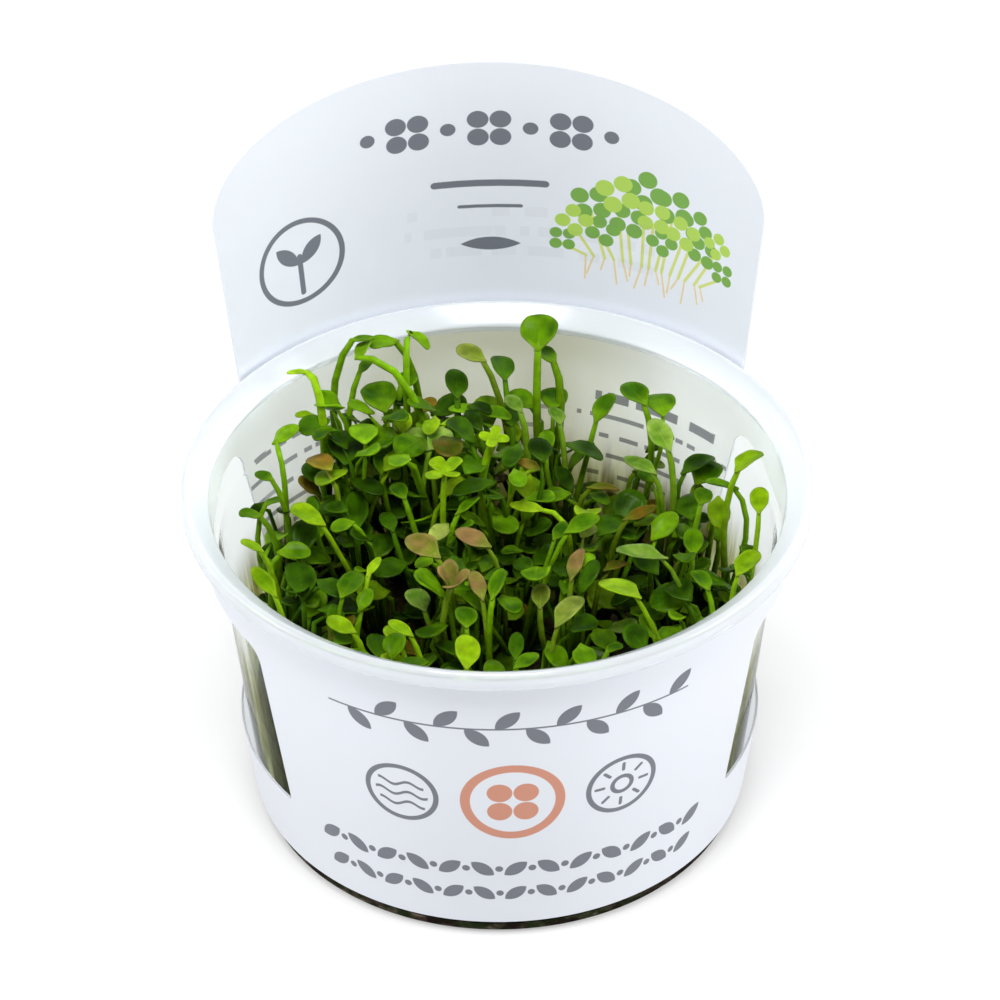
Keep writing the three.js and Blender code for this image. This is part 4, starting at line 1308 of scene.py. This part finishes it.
class Graph:
    """Builds a node tree from plain calls. Each call gives back the socket that holds its result."""

    def __init__(self, tree):
        self.tree = tree

    def add(self, kind, settings=None, **inputs):
        """A node with its settings and its inputs, which are sockets to link or values to set."""
        node = self.tree.nodes.new(kind)
        for name, value in (settings or {}).items():
            setattr(node, name, value)
        for name, value in inputs.items():
            self.feed(node.inputs[name.replace("_", " ")], value)
        return node

    def feed(self, socket, value):
        """Links a socket into another, or sets its value."""
        if isinstance(value, bpy.types.NodeSocket):
            self.tree.links.new(value, socket)
        else:
            socket.default_value = value

    def math(self, operation, a, b=0.0, c=0.0, clamp=False):
        """A sum of one to three numbers."""
        node = self.add("ShaderNodeMath", {"operation": operation, "use_clamp": clamp})
        for socket, value in zip(node.inputs, (a, b, c)):
            self.feed(socket, value)
        return node.outputs[0]

    def plus(self, a, b):
        """Two numbers added."""
        return self.math("ADD", a, b)

    def minus(self, a, b):
        """One number less another."""
        return self.math("SUBTRACT", a, b)

    def times(self, a, b):
        """Two numbers multiplied."""
        return self.math("MULTIPLY", a, b)

    def size(self, a):
        """A number without its sign."""
        return self.math("ABSOLUTE", a)

    def vector(self, operation, a, b=(0.0, 0.0, 0.0), scale=1.0):
        """A sum of two vectors: a vector, or a number for a length or a dot product."""
        node = self.add("ShaderNodeVectorMath", {"operation": operation})
        self.feed(node.inputs[0], a)
        self.feed(node.inputs[1], b)
        if operation == "SCALE":
            self.feed(node.inputs["Scale"], scale)
        return node.outputs["Value" if operation in ("LENGTH", "DOT_PRODUCT") else "Vector"]

    def away(self, a, b=(0.0, 0.0, 0.0)):
        """The distance between two points."""
        return self.vector("LENGTH", self.vector("SUBTRACT", a, b))

    def parts(self, vector):
        """A vector's x, y and z."""
        return self.add("ShaderNodeSeparateXYZ", Vector=vector).outputs

    def point(self, x, y, z=0.0):
        """A vector from its x, y and z."""
        return self.add("ShaderNodeCombineXYZ", X=x, Y=y, Z=z).outputs[0]

    def step(self, value, start, end, low=0.0, high=1.0):
        """A smooth step from low at start to high at end."""
        node = self.add("ShaderNodeMapRange", {"interpolation_type": "SMOOTHSTEP"}, Value=value)
        for name, number in (("From Min", start), ("From Max", end), ("To Min", low), ("To Max", high)):
            self.feed(node.inputs[name], number)
        return node.outputs[0]

    def inked(self, distance):
        """A mask that is 1 inside a printed mark, from the distance to its outline."""
        return self.step(distance, INK_EDGE, -INK_EDGE)

    def mix(self, factor, a, b, blend="MIX"):
        """A mix of two colours."""
        node = self.add("ShaderNodeMix", {"data_type": "RGBA", "blend_type": blend, "clamp_factor": True})
        self.feed(node.inputs["Factor"], factor)
        self.feed(node.inputs[6], a)
        self.feed(node.inputs[7], b)
        return node.outputs[2]

    def noise(self, point, scale, detail=2.0, rough=0.5):
        """Soft noise from 0 to 1 round a point."""
        node = self.add("ShaderNodeTexNoise", Vector=point, Scale=scale, Detail=detail, Roughness=rough)
        return node.outputs[0]

    def turned(self, vector, angle):
        """A vector turned back about Z by an angle."""
        settings = {"rotation_type": "Z_AXIS", "invert": True}
        return self.add("ShaderNodeVectorRotate", settings, Vector=vector, Angle=angle).outputs[0]

    def bump(self, height, strength, distance):
        """A normal from a height."""
        return self.add("ShaderNodeBump", Height=height, Strength=strength, Distance=distance).outputs[0]

    def sheet_map(self, name):
        """A place on a map of the piece."""
        return self.add("ShaderNodeUVMap", {"uv_map": name}).outputs[0]

    def group(self, tree, **inputs):
        """A shared effect placed with its own values. Gives its outputs."""
        node = self.add("ShaderNodeGroup", {"node_tree": tree})
        for name, value in inputs.items():
            self.feed(node.inputs[name.replace("_", " ")], value)
        return node.outputs


def new_group(name, inputs, outputs="Mask:F"):
    """An empty node group. Its sockets are listed as name:kind: V, F or C for vector, number or colour."""
    tree = bpy.data.node_groups.new(name, "ShaderNodeTree")
    for names, direction in ((inputs, "INPUT"), (outputs, "OUTPUT")):
        for entry in names.split(", "):
            socket, kind = entry.split(":")
            tree.interface.new_socket(name=socket, in_out=direction, socket_type=SOCKET_KINDS[kind])
    start = tree.nodes.new("NodeGroupInput")
    end = tree.nodes.new("NodeGroupOutput")
    return Graph(tree), start.outputs, end.inputs


def leaf_mark():
    """A pointed leaf of a length and width, turned about its centre: where two equal circles overlap."""
    graph, given, result = new_group("leaf mark", "Point:V, Centre:V, Turn:F, Length:F, Width:F")
    local = graph.turned(graph.vector("SUBTRACT", given["Point"], given["Centre"]), given["Turn"])
    x, y, _ = graph.parts(local)
    a = graph.times(given["Length"], 0.5)
    b = graph.times(given["Width"], 0.5)
    squares = graph.plus(graph.times(a, a), graph.times(b, b))
    radius = graph.math("DIVIDE", squares, graph.times(b, 2))
    low = graph.plus(graph.size(y), graph.minus(radius, b))
    graph.feed(result["Mask"], graph.inked(graph.minus(graph.away(graph.point(x, low)), radius)))
    return graph.tree


def ring_mark():
    """A ring of a radius and line width, or a disc where the line is as wide as the radius."""
    graph, given, result = new_group("ring mark", "Point:V, Centre:V, Radius:F, Line:F")
    half = graph.times(given["Line"], 0.5)
    from_line = graph.size(graph.minus(graph.away(given["Point"], given["Centre"]),
                                       graph.minus(given["Radius"], half)))
    graph.feed(result["Mask"], graph.inked(graph.minus(from_line, half)))
    return graph.tree


def rule_mark():
    """A straight line with round ends."""
    graph, given, result = new_group("rule mark", "Point:V, From:V, To:V, Line:F")
    from_start = graph.vector("SUBTRACT", given["Point"], given["From"])
    whole = graph.vector("SUBTRACT", given["To"], given["From"])
    share = graph.math("DIVIDE", graph.vector("DOT_PRODUCT", from_start, whole),
                       graph.vector("DOT_PRODUCT", whole, whole), clamp=True)
    off = graph.away(from_start, graph.vector("SCALE", whole, scale=share))
    graph.feed(result["Mask"], graph.inked(graph.minus(off, graph.times(given["Line"], 0.5))))
    return graph.tree


def clover_mark():
    """Four round leaflets set crosswise round a centre."""
    graph, given, result = new_group("clover mark", "Point:V, Centre:V, Turn:F, Size:F")
    local = graph.turned(graph.vector("SUBTRACT", given["Point"], given["Centre"]), given["Turn"])
    x, y, _ = graph.parts(local)
    quarter = math.tau / LEAFLETS
    turn = graph.plus(graph.math("ARCTAN2", y, x), math.tau)
    folded = graph.minus(graph.math("MODULO", turn, quarter), quarter / 2)
    reach = graph.away(local)
    along = graph.times(reach, graph.math("COSINE", folded))
    across = graph.times(reach, graph.math("SINE", folded))
    centre = graph.times(given["Size"], CLOVER_SPREAD)
    off = graph.away(graph.point(graph.minus(along, centre), across))
    graph.feed(result["Mask"], graph.inked(graph.minus(off, graph.times(given["Size"], CLOVER_LEAFLET))))
    return graph.tree


def wave_mark():
    """A level wavy line between two ends."""
    graph, given, result = new_group("wave mark", "Point:V, Centre:V, Half length:F, Swing:F, Line:F")
    x, y, _ = graph.parts(graph.vector("SUBTRACT", given["Point"], given["Centre"]))
    swing = graph.times(given["Swing"], graph.math("SINE", graph.times(x, WAVE_TURN)))
    off = graph.size(graph.minus(y, swing))
    in_line = graph.inked(graph.minus(off, graph.times(given["Line"], 0.5)))
    in_length = graph.inked(graph.minus(graph.size(x), given["Half length"]))
    graph.feed(result["Mask"], graph.times(in_line, in_length))
    return graph.tree


def leaf_row():
    """A level row of leaves that lean one way and the other in turn, with a dot between each two."""
    graph, given, result = new_group(
        "leaf row", "Point:V, Height:F, Half length:F, Period:F, Length:F, Width:F")
    x, y, _ = graph.parts(given["Point"])
    y = graph.minus(y, given["Height"])
    place = graph.math("DIVIDE", x, given["Period"])
    number = graph.math("ROUND", place)
    folded = graph.times(graph.minus(place, number), given["Period"])
    lean = graph.math("MULTIPLY_ADD", graph.math("PINGPONG", number, 1), -2 * ROW_LEAN, ROW_LEAN)
    leaf = graph.group(leaf_mark(), Point=graph.point(folded, y), Turn=lean, Length=given["Length"],
                       Width=given["Width"])["Mask"]
    beside = graph.minus(graph.size(folded), graph.times(given["Period"], 0.5))
    from_dot = graph.minus(graph.away(graph.point(beside, y)), graph.times(given["Width"], ROW_DOT))
    inside = graph.inked(graph.minus(graph.size(x), given["Half length"]))
    row = graph.math("MAXIMUM", leaf, graph.inked(from_dot))
    graph.feed(result["Mask"], graph.times(row, inside))
    return graph.tree


def dashed_rows():
    """Rows of thin dashes of uneven length, like a plain ruled note."""
    graph, given, result = new_group("dashed rows", "Point:V, Row:F, Line:F")
    x, y, _ = graph.parts(given["Point"])
    row = graph.math("DIVIDE", y, given["Row"])
    number = graph.math("FLOOR", row)
    off = graph.times(graph.size(graph.minus(graph.math("FRACT", row), 0.5)), given["Row"])
    in_line = graph.inked(graph.minus(off, graph.times(given["Line"], 0.5)))
    along = graph.noise(graph.point(x, graph.times(number, DASH_SHIFT)), DASH_FINENESS, 0)
    graph.feed(result["Mask"], graph.times(in_line, graph.step(along, *DASH_ENDS)))
    return graph.tree


def leaf_face():
    """A leaf's and its stalk's colour, roughness and height. V is 0 to 1 on a blade, below 0 on a stalk."""
    graph, given, result = new_group(
        "leaf face", "Leaf map:V, Point:V, Face:C, Shade:C, Vein:C, Stalk:C, Foot:C, Tint:F",
        "Colour:C, Roughness:F, Height:F")
    u, v, _ = graph.parts(given["Leaf map"])
    across = graph.minus(u, 0.5)
    fan = graph.math("ARCTAN2", across, graph.plus(v, VEIN_START))
    veins = graph.step(graph.size(graph.math("SINE", graph.times(fan, VEIN_FAN))), 0.3, 0.0)
    midrib = graph.step(graph.size(across), 0.05, 0.0)
    midrib = graph.times(midrib, graph.step(v, 0.85, 0.1))
    veins = graph.math("MAXIMUM", graph.times(veins, 0.45), midrib)
    mottle = graph.noise(given["Point"], MOTTLE_FINENESS, 3)
    patches = graph.noise(given["Point"], PATCH_FINENESS, 2)
    from_middle = graph.away(graph.point(across, graph.minus(v, 0.5)))
    rim = graph.step(from_middle, 0.34, 0.5, 0, 0.22)
    darker = graph.math("MULTIPLY_ADD", given["Tint"], -0.3, graph.step(patches, 0.34, 0.66, 0, 1))
    blade = graph.mix(darker, given["Face"], given["Shade"])
    blade = graph.mix(graph.step(v, 0.5, 0.05, 0, 0.8), blade, given["Stalk"])
    blade = graph.mix(rim, blade, given["Vein"])
    blade = graph.mix(graph.times(veins, 0.3), blade, given["Vein"])
    blade = graph.mix(graph.step(given["Tint"], 0.1, 1.0, 0, 0.25), blade, given["Vein"])
    stalk = graph.mix(graph.step(v, -0.3, -0.9), given["Stalk"], given["Foot"])
    colour = graph.mix(graph.step(v, -0.17, -0.1), stalk, blade)
    _, _, height = graph.parts(given["Point"])
    light = graph.math("MULTIPLY_ADD", given["Tint"], TINT_LIGHT, MIDDLE_LIGHT)
    light = graph.times(light, graph.step(mottle, 0.25, 0.75, 0.78, 1.2))
    # Painted shade: the colour darkens from the sunlit height down to the shaded one, for the shade deep
    # among the fronds
    light = graph.times(light, graph.step(height, SHADED_HEIGHT, SUNLIT_HEIGHT, SHADED, 1.0))
    graph.feed(result["Colour"], graph.vector("SCALE", colour, scale=light))
    graph.feed(result["Roughness"], graph.step(mottle, 0.2, 0.8, 0.3, 0.46))
    graph.feed(result["Height"], graph.math("MULTIPLY_ADD", veins, 0.6, graph.times(mottle, 0.5)))
    return graph.tree


def fine_grain():
    """A slight unevenness of tone and height, for card and moulded plastic."""
    graph, given, result = new_group("fine grain", "Point:V, Scale:F", "Tone:F, Height:F")
    coarse = graph.noise(given["Point"], graph.times(given["Scale"], 0.06), 2)
    fine = graph.noise(given["Point"], given["Scale"], 3)
    graph.feed(result["Tone"], graph.step(coarse, 0.25, 0.75))
    graph.feed(result["Height"], graph.plus(graph.times(fine, 0.4), coarse))
    return graph.tree


# What is printed on the card

def flat_point(place):
    """A place on the card as a point."""
    return (*place, 0)


def leaf(centre, turn, length, width):
    """A printed leaf."""
    return "leaf", {"Centre": flat_point(centre), "Turn": turn, "Length": length, "Width": width}


def ring(centre, radius, line):
    """A printed ring."""
    return "ring", {"Centre": flat_point(centre), "Radius": radius, "Line": line}


def rule(start, end, line):
    """A printed line."""
    return "rule", {"From": flat_point(start), "To": flat_point(end), "Line": line}


def clover(centre, turn, size):
    """A printed clover."""
    return "clover", {"Centre": flat_point(centre), "Turn": turn, "Size": size}


def garland():
    """A level stem with leaves above and below it in turn."""
    start, end, height = GARLAND
    length, width = GARLAND_LEAF
    marks = [rule((start, height), (end, height), GARLAND_LINE)]
    for i in range(int((end - start) / GARLAND_SPACING)):
        side = 1 if i % 2 else -1
        x = start + GARLAND_SPACING * (i + GARLAND_FIRST) + GARLAND_LEAN * length
        marks.append(leaf((x, height + side * GARLAND_LEAN * length), side * math.pi / 4, length, width))
    return marks


def front_marks():
    """What is printed on the front, ink by ink: a garland, three badges and two rows of leaves."""
    water = (WATER_BADGE, BADGE_HEIGHT)
    sun = (SUN_BADGE, BADGE_HEIGHT)
    middle = (CLOVER_BADGE, BADGE_HEIGHT)
    grey = garland() + [ring(water, *BADGE_RING), ring(sun, *BADGE_RING), ring(sun, *SUN_DISC)]
    for lift, half_length in WATER_WAVES:
        centre = flat_point((WATER_BADGE, BADGE_HEIGHT + lift))
        grey.append(("wave", {
            "Centre": centre, "Half length": half_length, "Swing": WAVE_SWING, "Line": THIN_LINE,
        }))
    for height, half_length, period, length, width in LEAF_ROWS:
        grey.append(("row", {
            "Height": height, "Half length": half_length, "Period": period, "Length": length, "Width": width,
        }))
    for k in range(SUN_RAYS):
        turn = math.tau * k / SUN_RAYS
        start, end = ((SUN_BADGE + r * math.cos(turn), BADGE_HEIGHT + r * math.sin(turn)) for r in SUN_RAY)
        grey.append(rule(start, end, THIN_LINE))
    return {"grey": grey, "warm": [ring(middle, *CLOVER_RING), clover(middle, 0.0, CLOVER_SIZE)]}


def header_marks():
    """What is printed on the header, ink by ink: a row of clovers, rules, a lens, a seedling and a sprig."""
    grey = [clover((x, TITLE_HEIGHT), 0.0, TITLE_CLOVER_SIZE) for x in TITLE_CLOVERS]
    grey += [ring((x, TITLE_HEIGHT), *TITLE_DOT) for x in TITLE_DOTS]
    grey += [rule((start, height), (end, height), line) for start, end, height, line in HEADER_RULES]
    grey += [leaf(*LENS), ring(SEEDLING, *SEEDLING_RING)]
    low, high = SEEDLING_STEM
    grey.append(rule((SEEDLING[0], low), (SEEDLING[0], high), SEEDLING_RING[1]))
    grey += [leaf(*one) for one in SEEDLING_LEAVES]
    marks = {"grey": grey, "tan": [], "pale": [], "green": [], "fresh": []}
    for i, (x, z, size) in enumerate(SPRIG_HEADS):
        foot = SPRIG_MIDDLE + SPRIG_GATHER * (x - SPRIG_MIDDLE)
        root = (foot + math.sin(ROOT_SCATTER * i), SPRIG_ROOTS + i % 3)
        marks["pale"].append(rule((foot, SPRIG_GROUND), (x, z - SPRIG_NECK * size), SPRIG_LINE))
        marks["tan"].append(rule((foot, SPRIG_GROUND), root, SPRIG_ROOT_LINE))
        marks["fresh" if i % 3 == 1 else "green"].append(clover((x, z), SPRIG_TURN * i, size))
    return marks


# Materials

def srgb(screen):
    """A linear colour from screen values."""
    linear = []
    for value in screen:
        share = value / 255
        linear.append(share / 12.92 if share <= 0.04045 else ((share + 0.055) / 1.055) ** 2.4)
    return (*linear, 1)


def new_material(name, **constants):
    """A material with a graph, its Principled shader and the object's own coordinates."""
    material = bpy.data.materials.new(name)
    material.use_nodes = True
    shader = material.node_tree.nodes["Principled BSDF"]
    for key, value in constants.items():
        shader.inputs[key.replace("_", " ")].default_value = value
    graph = Graph(material.node_tree)
    place = graph.add("ShaderNodeTexCoord").outputs["Object"]
    return material, graph, shader.inputs, place


def foliage_material(tone, face_group):
    """Fresh leaf and stalk of one tone: veined, slightly uneven, with a waxy sheen."""
    material, graph, shader, place = new_material("foliage_" + tone, **FOLIAGE_SHEEN)
    face, shade, vein, stalk, foot = (srgb(colour) for colour in FOLIAGE_COLOURS[tone])
    tint = graph.add("ShaderNodeAttribute", {"attribute_name": "tint"}).outputs["Fac"]
    surface = graph.group(face_group, Leaf_map=graph.sheet_map("leaf"), Point=place, Face=face, Shade=shade,
                          Vein=vein, Stalk=stalk, Foot=foot, Tint=tint)
    graph.feed(shader["Base Color"], surface["Colour"])
    graph.feed(shader["Roughness"], surface["Roughness"])
    graph.feed(shader["Normal"], graph.bump(surface["Height"], 0.35, 0.0001))
    return material


def shade_film_and_stain(graph, place, colour):
    """The plastic's colour low down: a streaked olive film of painted shade, standing in for the shaded
    plants seen through the wall, and a stain at the foot where the gel touches it.
    """
    _, _, height = graph.parts(place)
    crumbs = graph.noise(place, STAIN_CRUMB_FINENESS, 3)
    patches = graph.step(graph.noise(place, STAIN_FINENESS, 1), 0.45, 0.55)
    stain = graph.mix(patches, *(srgb(tone) for tone in STAIN_COLOURS))
    stain = graph.mix(graph.step(crumbs, 0.5, 0.66), stain, srgb(STAIN_CRUMBS))
    streaks = graph.noise(graph.vector("MULTIPLY", place, STREAK_STRETCH), STREAK_FINENESS, 3)
    # Painted shade: a streaked olive film that darkens the lower wall like the shaded plants behind it
    painted_shade_film = graph.mix(graph.step(streaks, 0.38, 0.62), *(srgb(tone) for tone in SHADE_FILM_COLOURS))
    colour = graph.mix(graph.step(height, *SHADE_FILM_HEIGHTS), colour, painted_shade_film)
    return graph.mix(graph.step(height, *STAIN_HEIGHTS), colour, stain)


def plastic_material(name, grain_group):
    """Thin moulded plastic: the clear wall, with a film of painted shade low down, or the milky rim."""
    tints, clearness, density, dullness = PLASTICS[name]
    material, graph, shader, place = new_material(name, IOR=density, Transmission_Weight=clearness)
    grain = graph.group(grain_group, Point=place, Scale=PLASTIC_GRAIN)
    colour = graph.mix(grain["Tone"], *(srgb(tint) for tint in tints))
    if name == "clear_plastic":
        colour = shade_film_and_stain(graph, place, colour)
    graph.feed(shader["Base Color"], colour)
    graph.feed(shader["Roughness"], graph.math("MULTIPLY_ADD", grain["Tone"], 0.03, dullness))
    graph.feed(shader["Normal"], graph.bump(grain["Height"], 0.03, 0.0002))
    return material


def medium_material():
    """Dark moist gel with fine roots and paler crumbs."""
    material, graph, shader, place = new_material("medium", IOR=1.35, Coat_Weight=0.12, Coat_Roughness=0.25)
    lumps = graph.noise(place, LUMP_FINENESS, 4, 0.6)
    crumbs = graph.noise(place, CRUMB_FINENESS, 2)
    threads = graph.size(graph.minus(graph.noise(place, THREAD_FINENESS, 2), 0.5))
    colour = graph.mix(graph.step(lumps, 0.35, 0.7), *(srgb(brown) for brown in MEDIUM_BROWNS))
    colour = graph.mix(graph.step(crumbs, 0.62, 0.72, 0, 0.7), colour, srgb(MEDIUM_CRUMBS))
    colour = graph.mix(graph.step(threads, 0.012, 0.0, 0, 0.6), colour, srgb(MEDIUM_THREADS))
    graph.feed(shader["Base Color"], colour)
    graph.feed(shader["Roughness"], graph.step(lumps, 0.3, 0.7, 0.35, 0.7))
    graph.feed(shader["Normal"], graph.bump(lumps, 0.6, 0.0004))
    return material


def print_point(graph, map_name):
    """A place on one of the card's maps in millimetres."""
    return graph.vector("SCALE", graph.sheet_map(map_name), scale=float(MAP_UNIT))


def printed(graph, groups, map_name, paper, marks_by_ink):
    """The paper's colour with each ink's marks over it."""
    point = print_point(graph, map_name)
    colour = paper
    for ink, marks in marks_by_ink.items():
        mask = 0.0
        for kind, values in marks:
            inputs = {key.replace(" ", "_"): value for key, value in values.items()}
            mask = graph.math("MAXIMUM", mask, graph.group(groups[kind], Point=point, **inputs)["Mask"])
        colour = graph.mix(mask, colour, srgb(INKS[ink]))
    return colour


def noted(graph, groups, colour, block, strength, line):
    """The colour with rows of dashes over it in a block of a middle, half width, bottom and top."""
    middle, half, bottom, top = block
    point = print_point(graph, "back_print")
    across, height, _ = graph.parts(point)
    beside = graph.size(graph.minus(across, middle))
    mask = graph.group(groups["rows"], Point=point, Row=NOTE_ROW, Line=line)["Mask"]
    for past_edge in (graph.minus(beside, half), graph.minus(bottom, height), graph.minus(height, top)):
        mask = graph.times(mask, graph.inked(past_edge))
    return graph.mix(graph.times(mask, strength), colour, srgb(NOTE_INK))


def painted_daylight(graph, place):
    """Painted daylight: a glow on the card's inside that stands in for light coming through the card. It is a
    little on the header, warm behind the plants, bright at the sides and below the windows, and dim behind
    the gel."""
    across, depth, height = graph.parts(place)
    beside = graph.size(across)
    above = graph.vector("SCALE", srgb(CARD_WHITES[0])[:3], scale=graph.step(height, *HEADER_DAYLIGHT))
    behind_plants = graph.times(graph.step(depth, *BEHIND_PLANTS), graph.step(height, *ABOVE_GEL))
    below_window = graph.times(graph.step(beside, *BESIDE_WALL), graph.step(height, *BELOW_WINDOW))
    light = graph.mix(graph.step(beside, *TO_THE_SIDE), srgb(BACK_GLOW), srgb(SIDE_GLOW))
    light = graph.mix(behind_plants, srgb(GEL_GLOW), light)
    light = graph.mix(below_window, light, srgb(OPEN_GLOW))
    return graph.mix(graph.step(height, *BELOW_HEADER), above, light)


def card_material(name, groups, map_name=None, marks_by_ink=None, notes=(), painted_glow=False):
    """Smooth white coated card with its print and notes, with painted shade: a little lighter high up and
    darker toward its foot. Where it glows, a painted glow stands in for daylight coming through the card.
    """
    material, graph, shader, place = new_material(name, IOR=1.45, Coat_Weight=0.08, Coat_Roughness=0.3)
    grain = graph.group(groups["grain"], Point=place, Scale=CARD_GRAIN)
    colour = graph.mix(grain["Tone"], *(srgb(white) for white in CARD_WHITES))
    if marks_by_ink:
        colour = printed(graph, groups, map_name, colour, marks_by_ink)
    for block, strength, line in notes:
        colour = noted(graph, groups, colour, block, strength, line)
    # Painted light: the card glows with painted daylight, standing in for light that comes through it
    if painted_glow:
        graph.feed(shader["Emission Color"], graph.mix(1.0, painted_daylight(graph, place), colour, "MULTIPLY"))
        shader["Emission Strength"].default_value = 1.0
        material.cycles.emission_sampling = "NONE"
    # Painted shade: the card is made a little lighter high up and darker toward its foot
    _, _, height = graph.parts(place)
    colour = graph.vector("SCALE", colour, scale=graph.step(height, *PAINTED_CARD_SHADE))
    graph.feed(shader["Base Color"], colour)
    graph.feed(shader["Roughness"], graph.math("MULTIPLY_ADD", grain["Tone"], 0.08, 0.46))
    graph.feed(shader["Normal"], graph.bump(grain["Height"], 0.12, 0.0001))
    return material


def all_materials():
    """Every material of the object by name."""
    groups = {
        "leaf": leaf_mark(), "ring": ring_mark(), "rule": rule_mark(), "clover": clover_mark(),
        "wave": wave_mark(), "row": leaf_row(), "rows": dashed_rows(), "grain": fine_grain(),
    }
    face = leaf_face()
    cards = {
        "card_front": {"map_name": "front_print", "marks_by_ink": front_marks()},
        "card_back": {"notes": BACK_NOTES},
        "header_inside": {
            "map_name": "back_print", "marks_by_ink": header_marks(), "notes": HEADER_NOTES, "painted_glow": True,
        },
        "sleeve_inside": {"notes": SLEEVE_NOTES, "painted_glow": True},
        "card_edge": {},
    }
    materials = {"foliage_" + tone: foliage_material(tone, face) for tone in TONES}
    for name in PLASTICS:
        materials[name] = plastic_material(name, groups["grain"])
    materials["medium"] = medium_material()
    for name, look in cards.items():
        materials[name] = card_material(name, groups, **look)
    return materials


# Studio

def camera():
    """The camera at the photograph's viewing angle."""
    place = Vector(CAMERA_PLACE) * MM
    forward = (Vector(CAMERA_TARGET) * MM - place).normalized()
    right = forward.cross(Vector((0, 0, 1))).normalized()
    up = right.cross(forward)
    roll = math.radians(CAMERA_ROLL)
    side = math.cos(roll) * right + math.sin(roll) * up
    top = math.cos(roll) * up - math.sin(roll) * right
    made = bpy.data.cameras.new("camera")
    made.sensor_width = SENSOR
    made.lens = CAMERA_FOCAL_PIXELS * SENSOR / PHOTO_SIZE
    holder = bpy.data.objects.new("camera", made)
    axes = Matrix((side, top, -forward)).transposed()
    holder.matrix_world = Matrix.Translation(place) @ axes.to_4x4()
    bpy.context.scene.collection.objects.link(holder)
    bpy.context.scene.camera = holder


def soft_light(name, place, size, power):
    """A square soft light that faces the cup."""
    made = bpy.data.lights.new(name, "AREA")
    made.size = size
    made.energy = power
    holder = bpy.data.objects.new(name, made)
    aim = Vector(LIGHT_TARGET) - Vector(place)
    holder.location = place
    holder.rotation_euler = aim.to_track_quat("-Z", "Y").to_euler()
    bpy.context.scene.collection.objects.link(holder)


def studio():
    """A plain pale floor that glows a little, a white surround and soft lights."""
    bm = bmesh.new()
    bmesh.ops.create_grid(bm, x_segments=1, y_segments=1, size=STAGE_HALF)
    bmesh.ops.translate(bm, vec=(0, 0, -STAGE_DROP), verts=bm.verts)
    material, _, shader, _ = new_material("floor", Roughness=0.9, Emission_Strength=STAGE_GLOW)
    shader["Base Color"].default_value = srgb(STAGE_TONE)
    shader["Emission Color"].default_value = srgb(WHITE)
    material.cycles.emission_sampling = "NONE"
    finished_piece(bm, "floor", [material])
    world = bpy.data.worlds.new("surround")
    world.use_nodes = True
    background = world.node_tree.nodes["Background"]
    background.inputs["Color"].default_value = srgb(WHITE)
    background.inputs["Strength"].default_value = SURROUND_STRENGTH
    bpy.context.scene.world = world
    for name, (place, size, power) in LIGHTS.items():
        soft_light(name, place, size, power)
    bpy.context.scene.view_settings.view_transform = "Standard"


def main():
    """Builds the whole scene."""
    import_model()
    camera()
    studio()
    materials = all_materials()
    cup_piece(materials)
    sleeve_piece(materials)
    medium_piece(materials)
    plantlets, standing = all_plantlets()
    add_undergrowth(plantlets, standing)
    templates = all_templates()
    draw = random.Random(FROND_SEED)
    for number, plantlet in enumerate(plantlets, 1):
        plantlet_piece(number, plantlet, templates, materials, draw)


main()
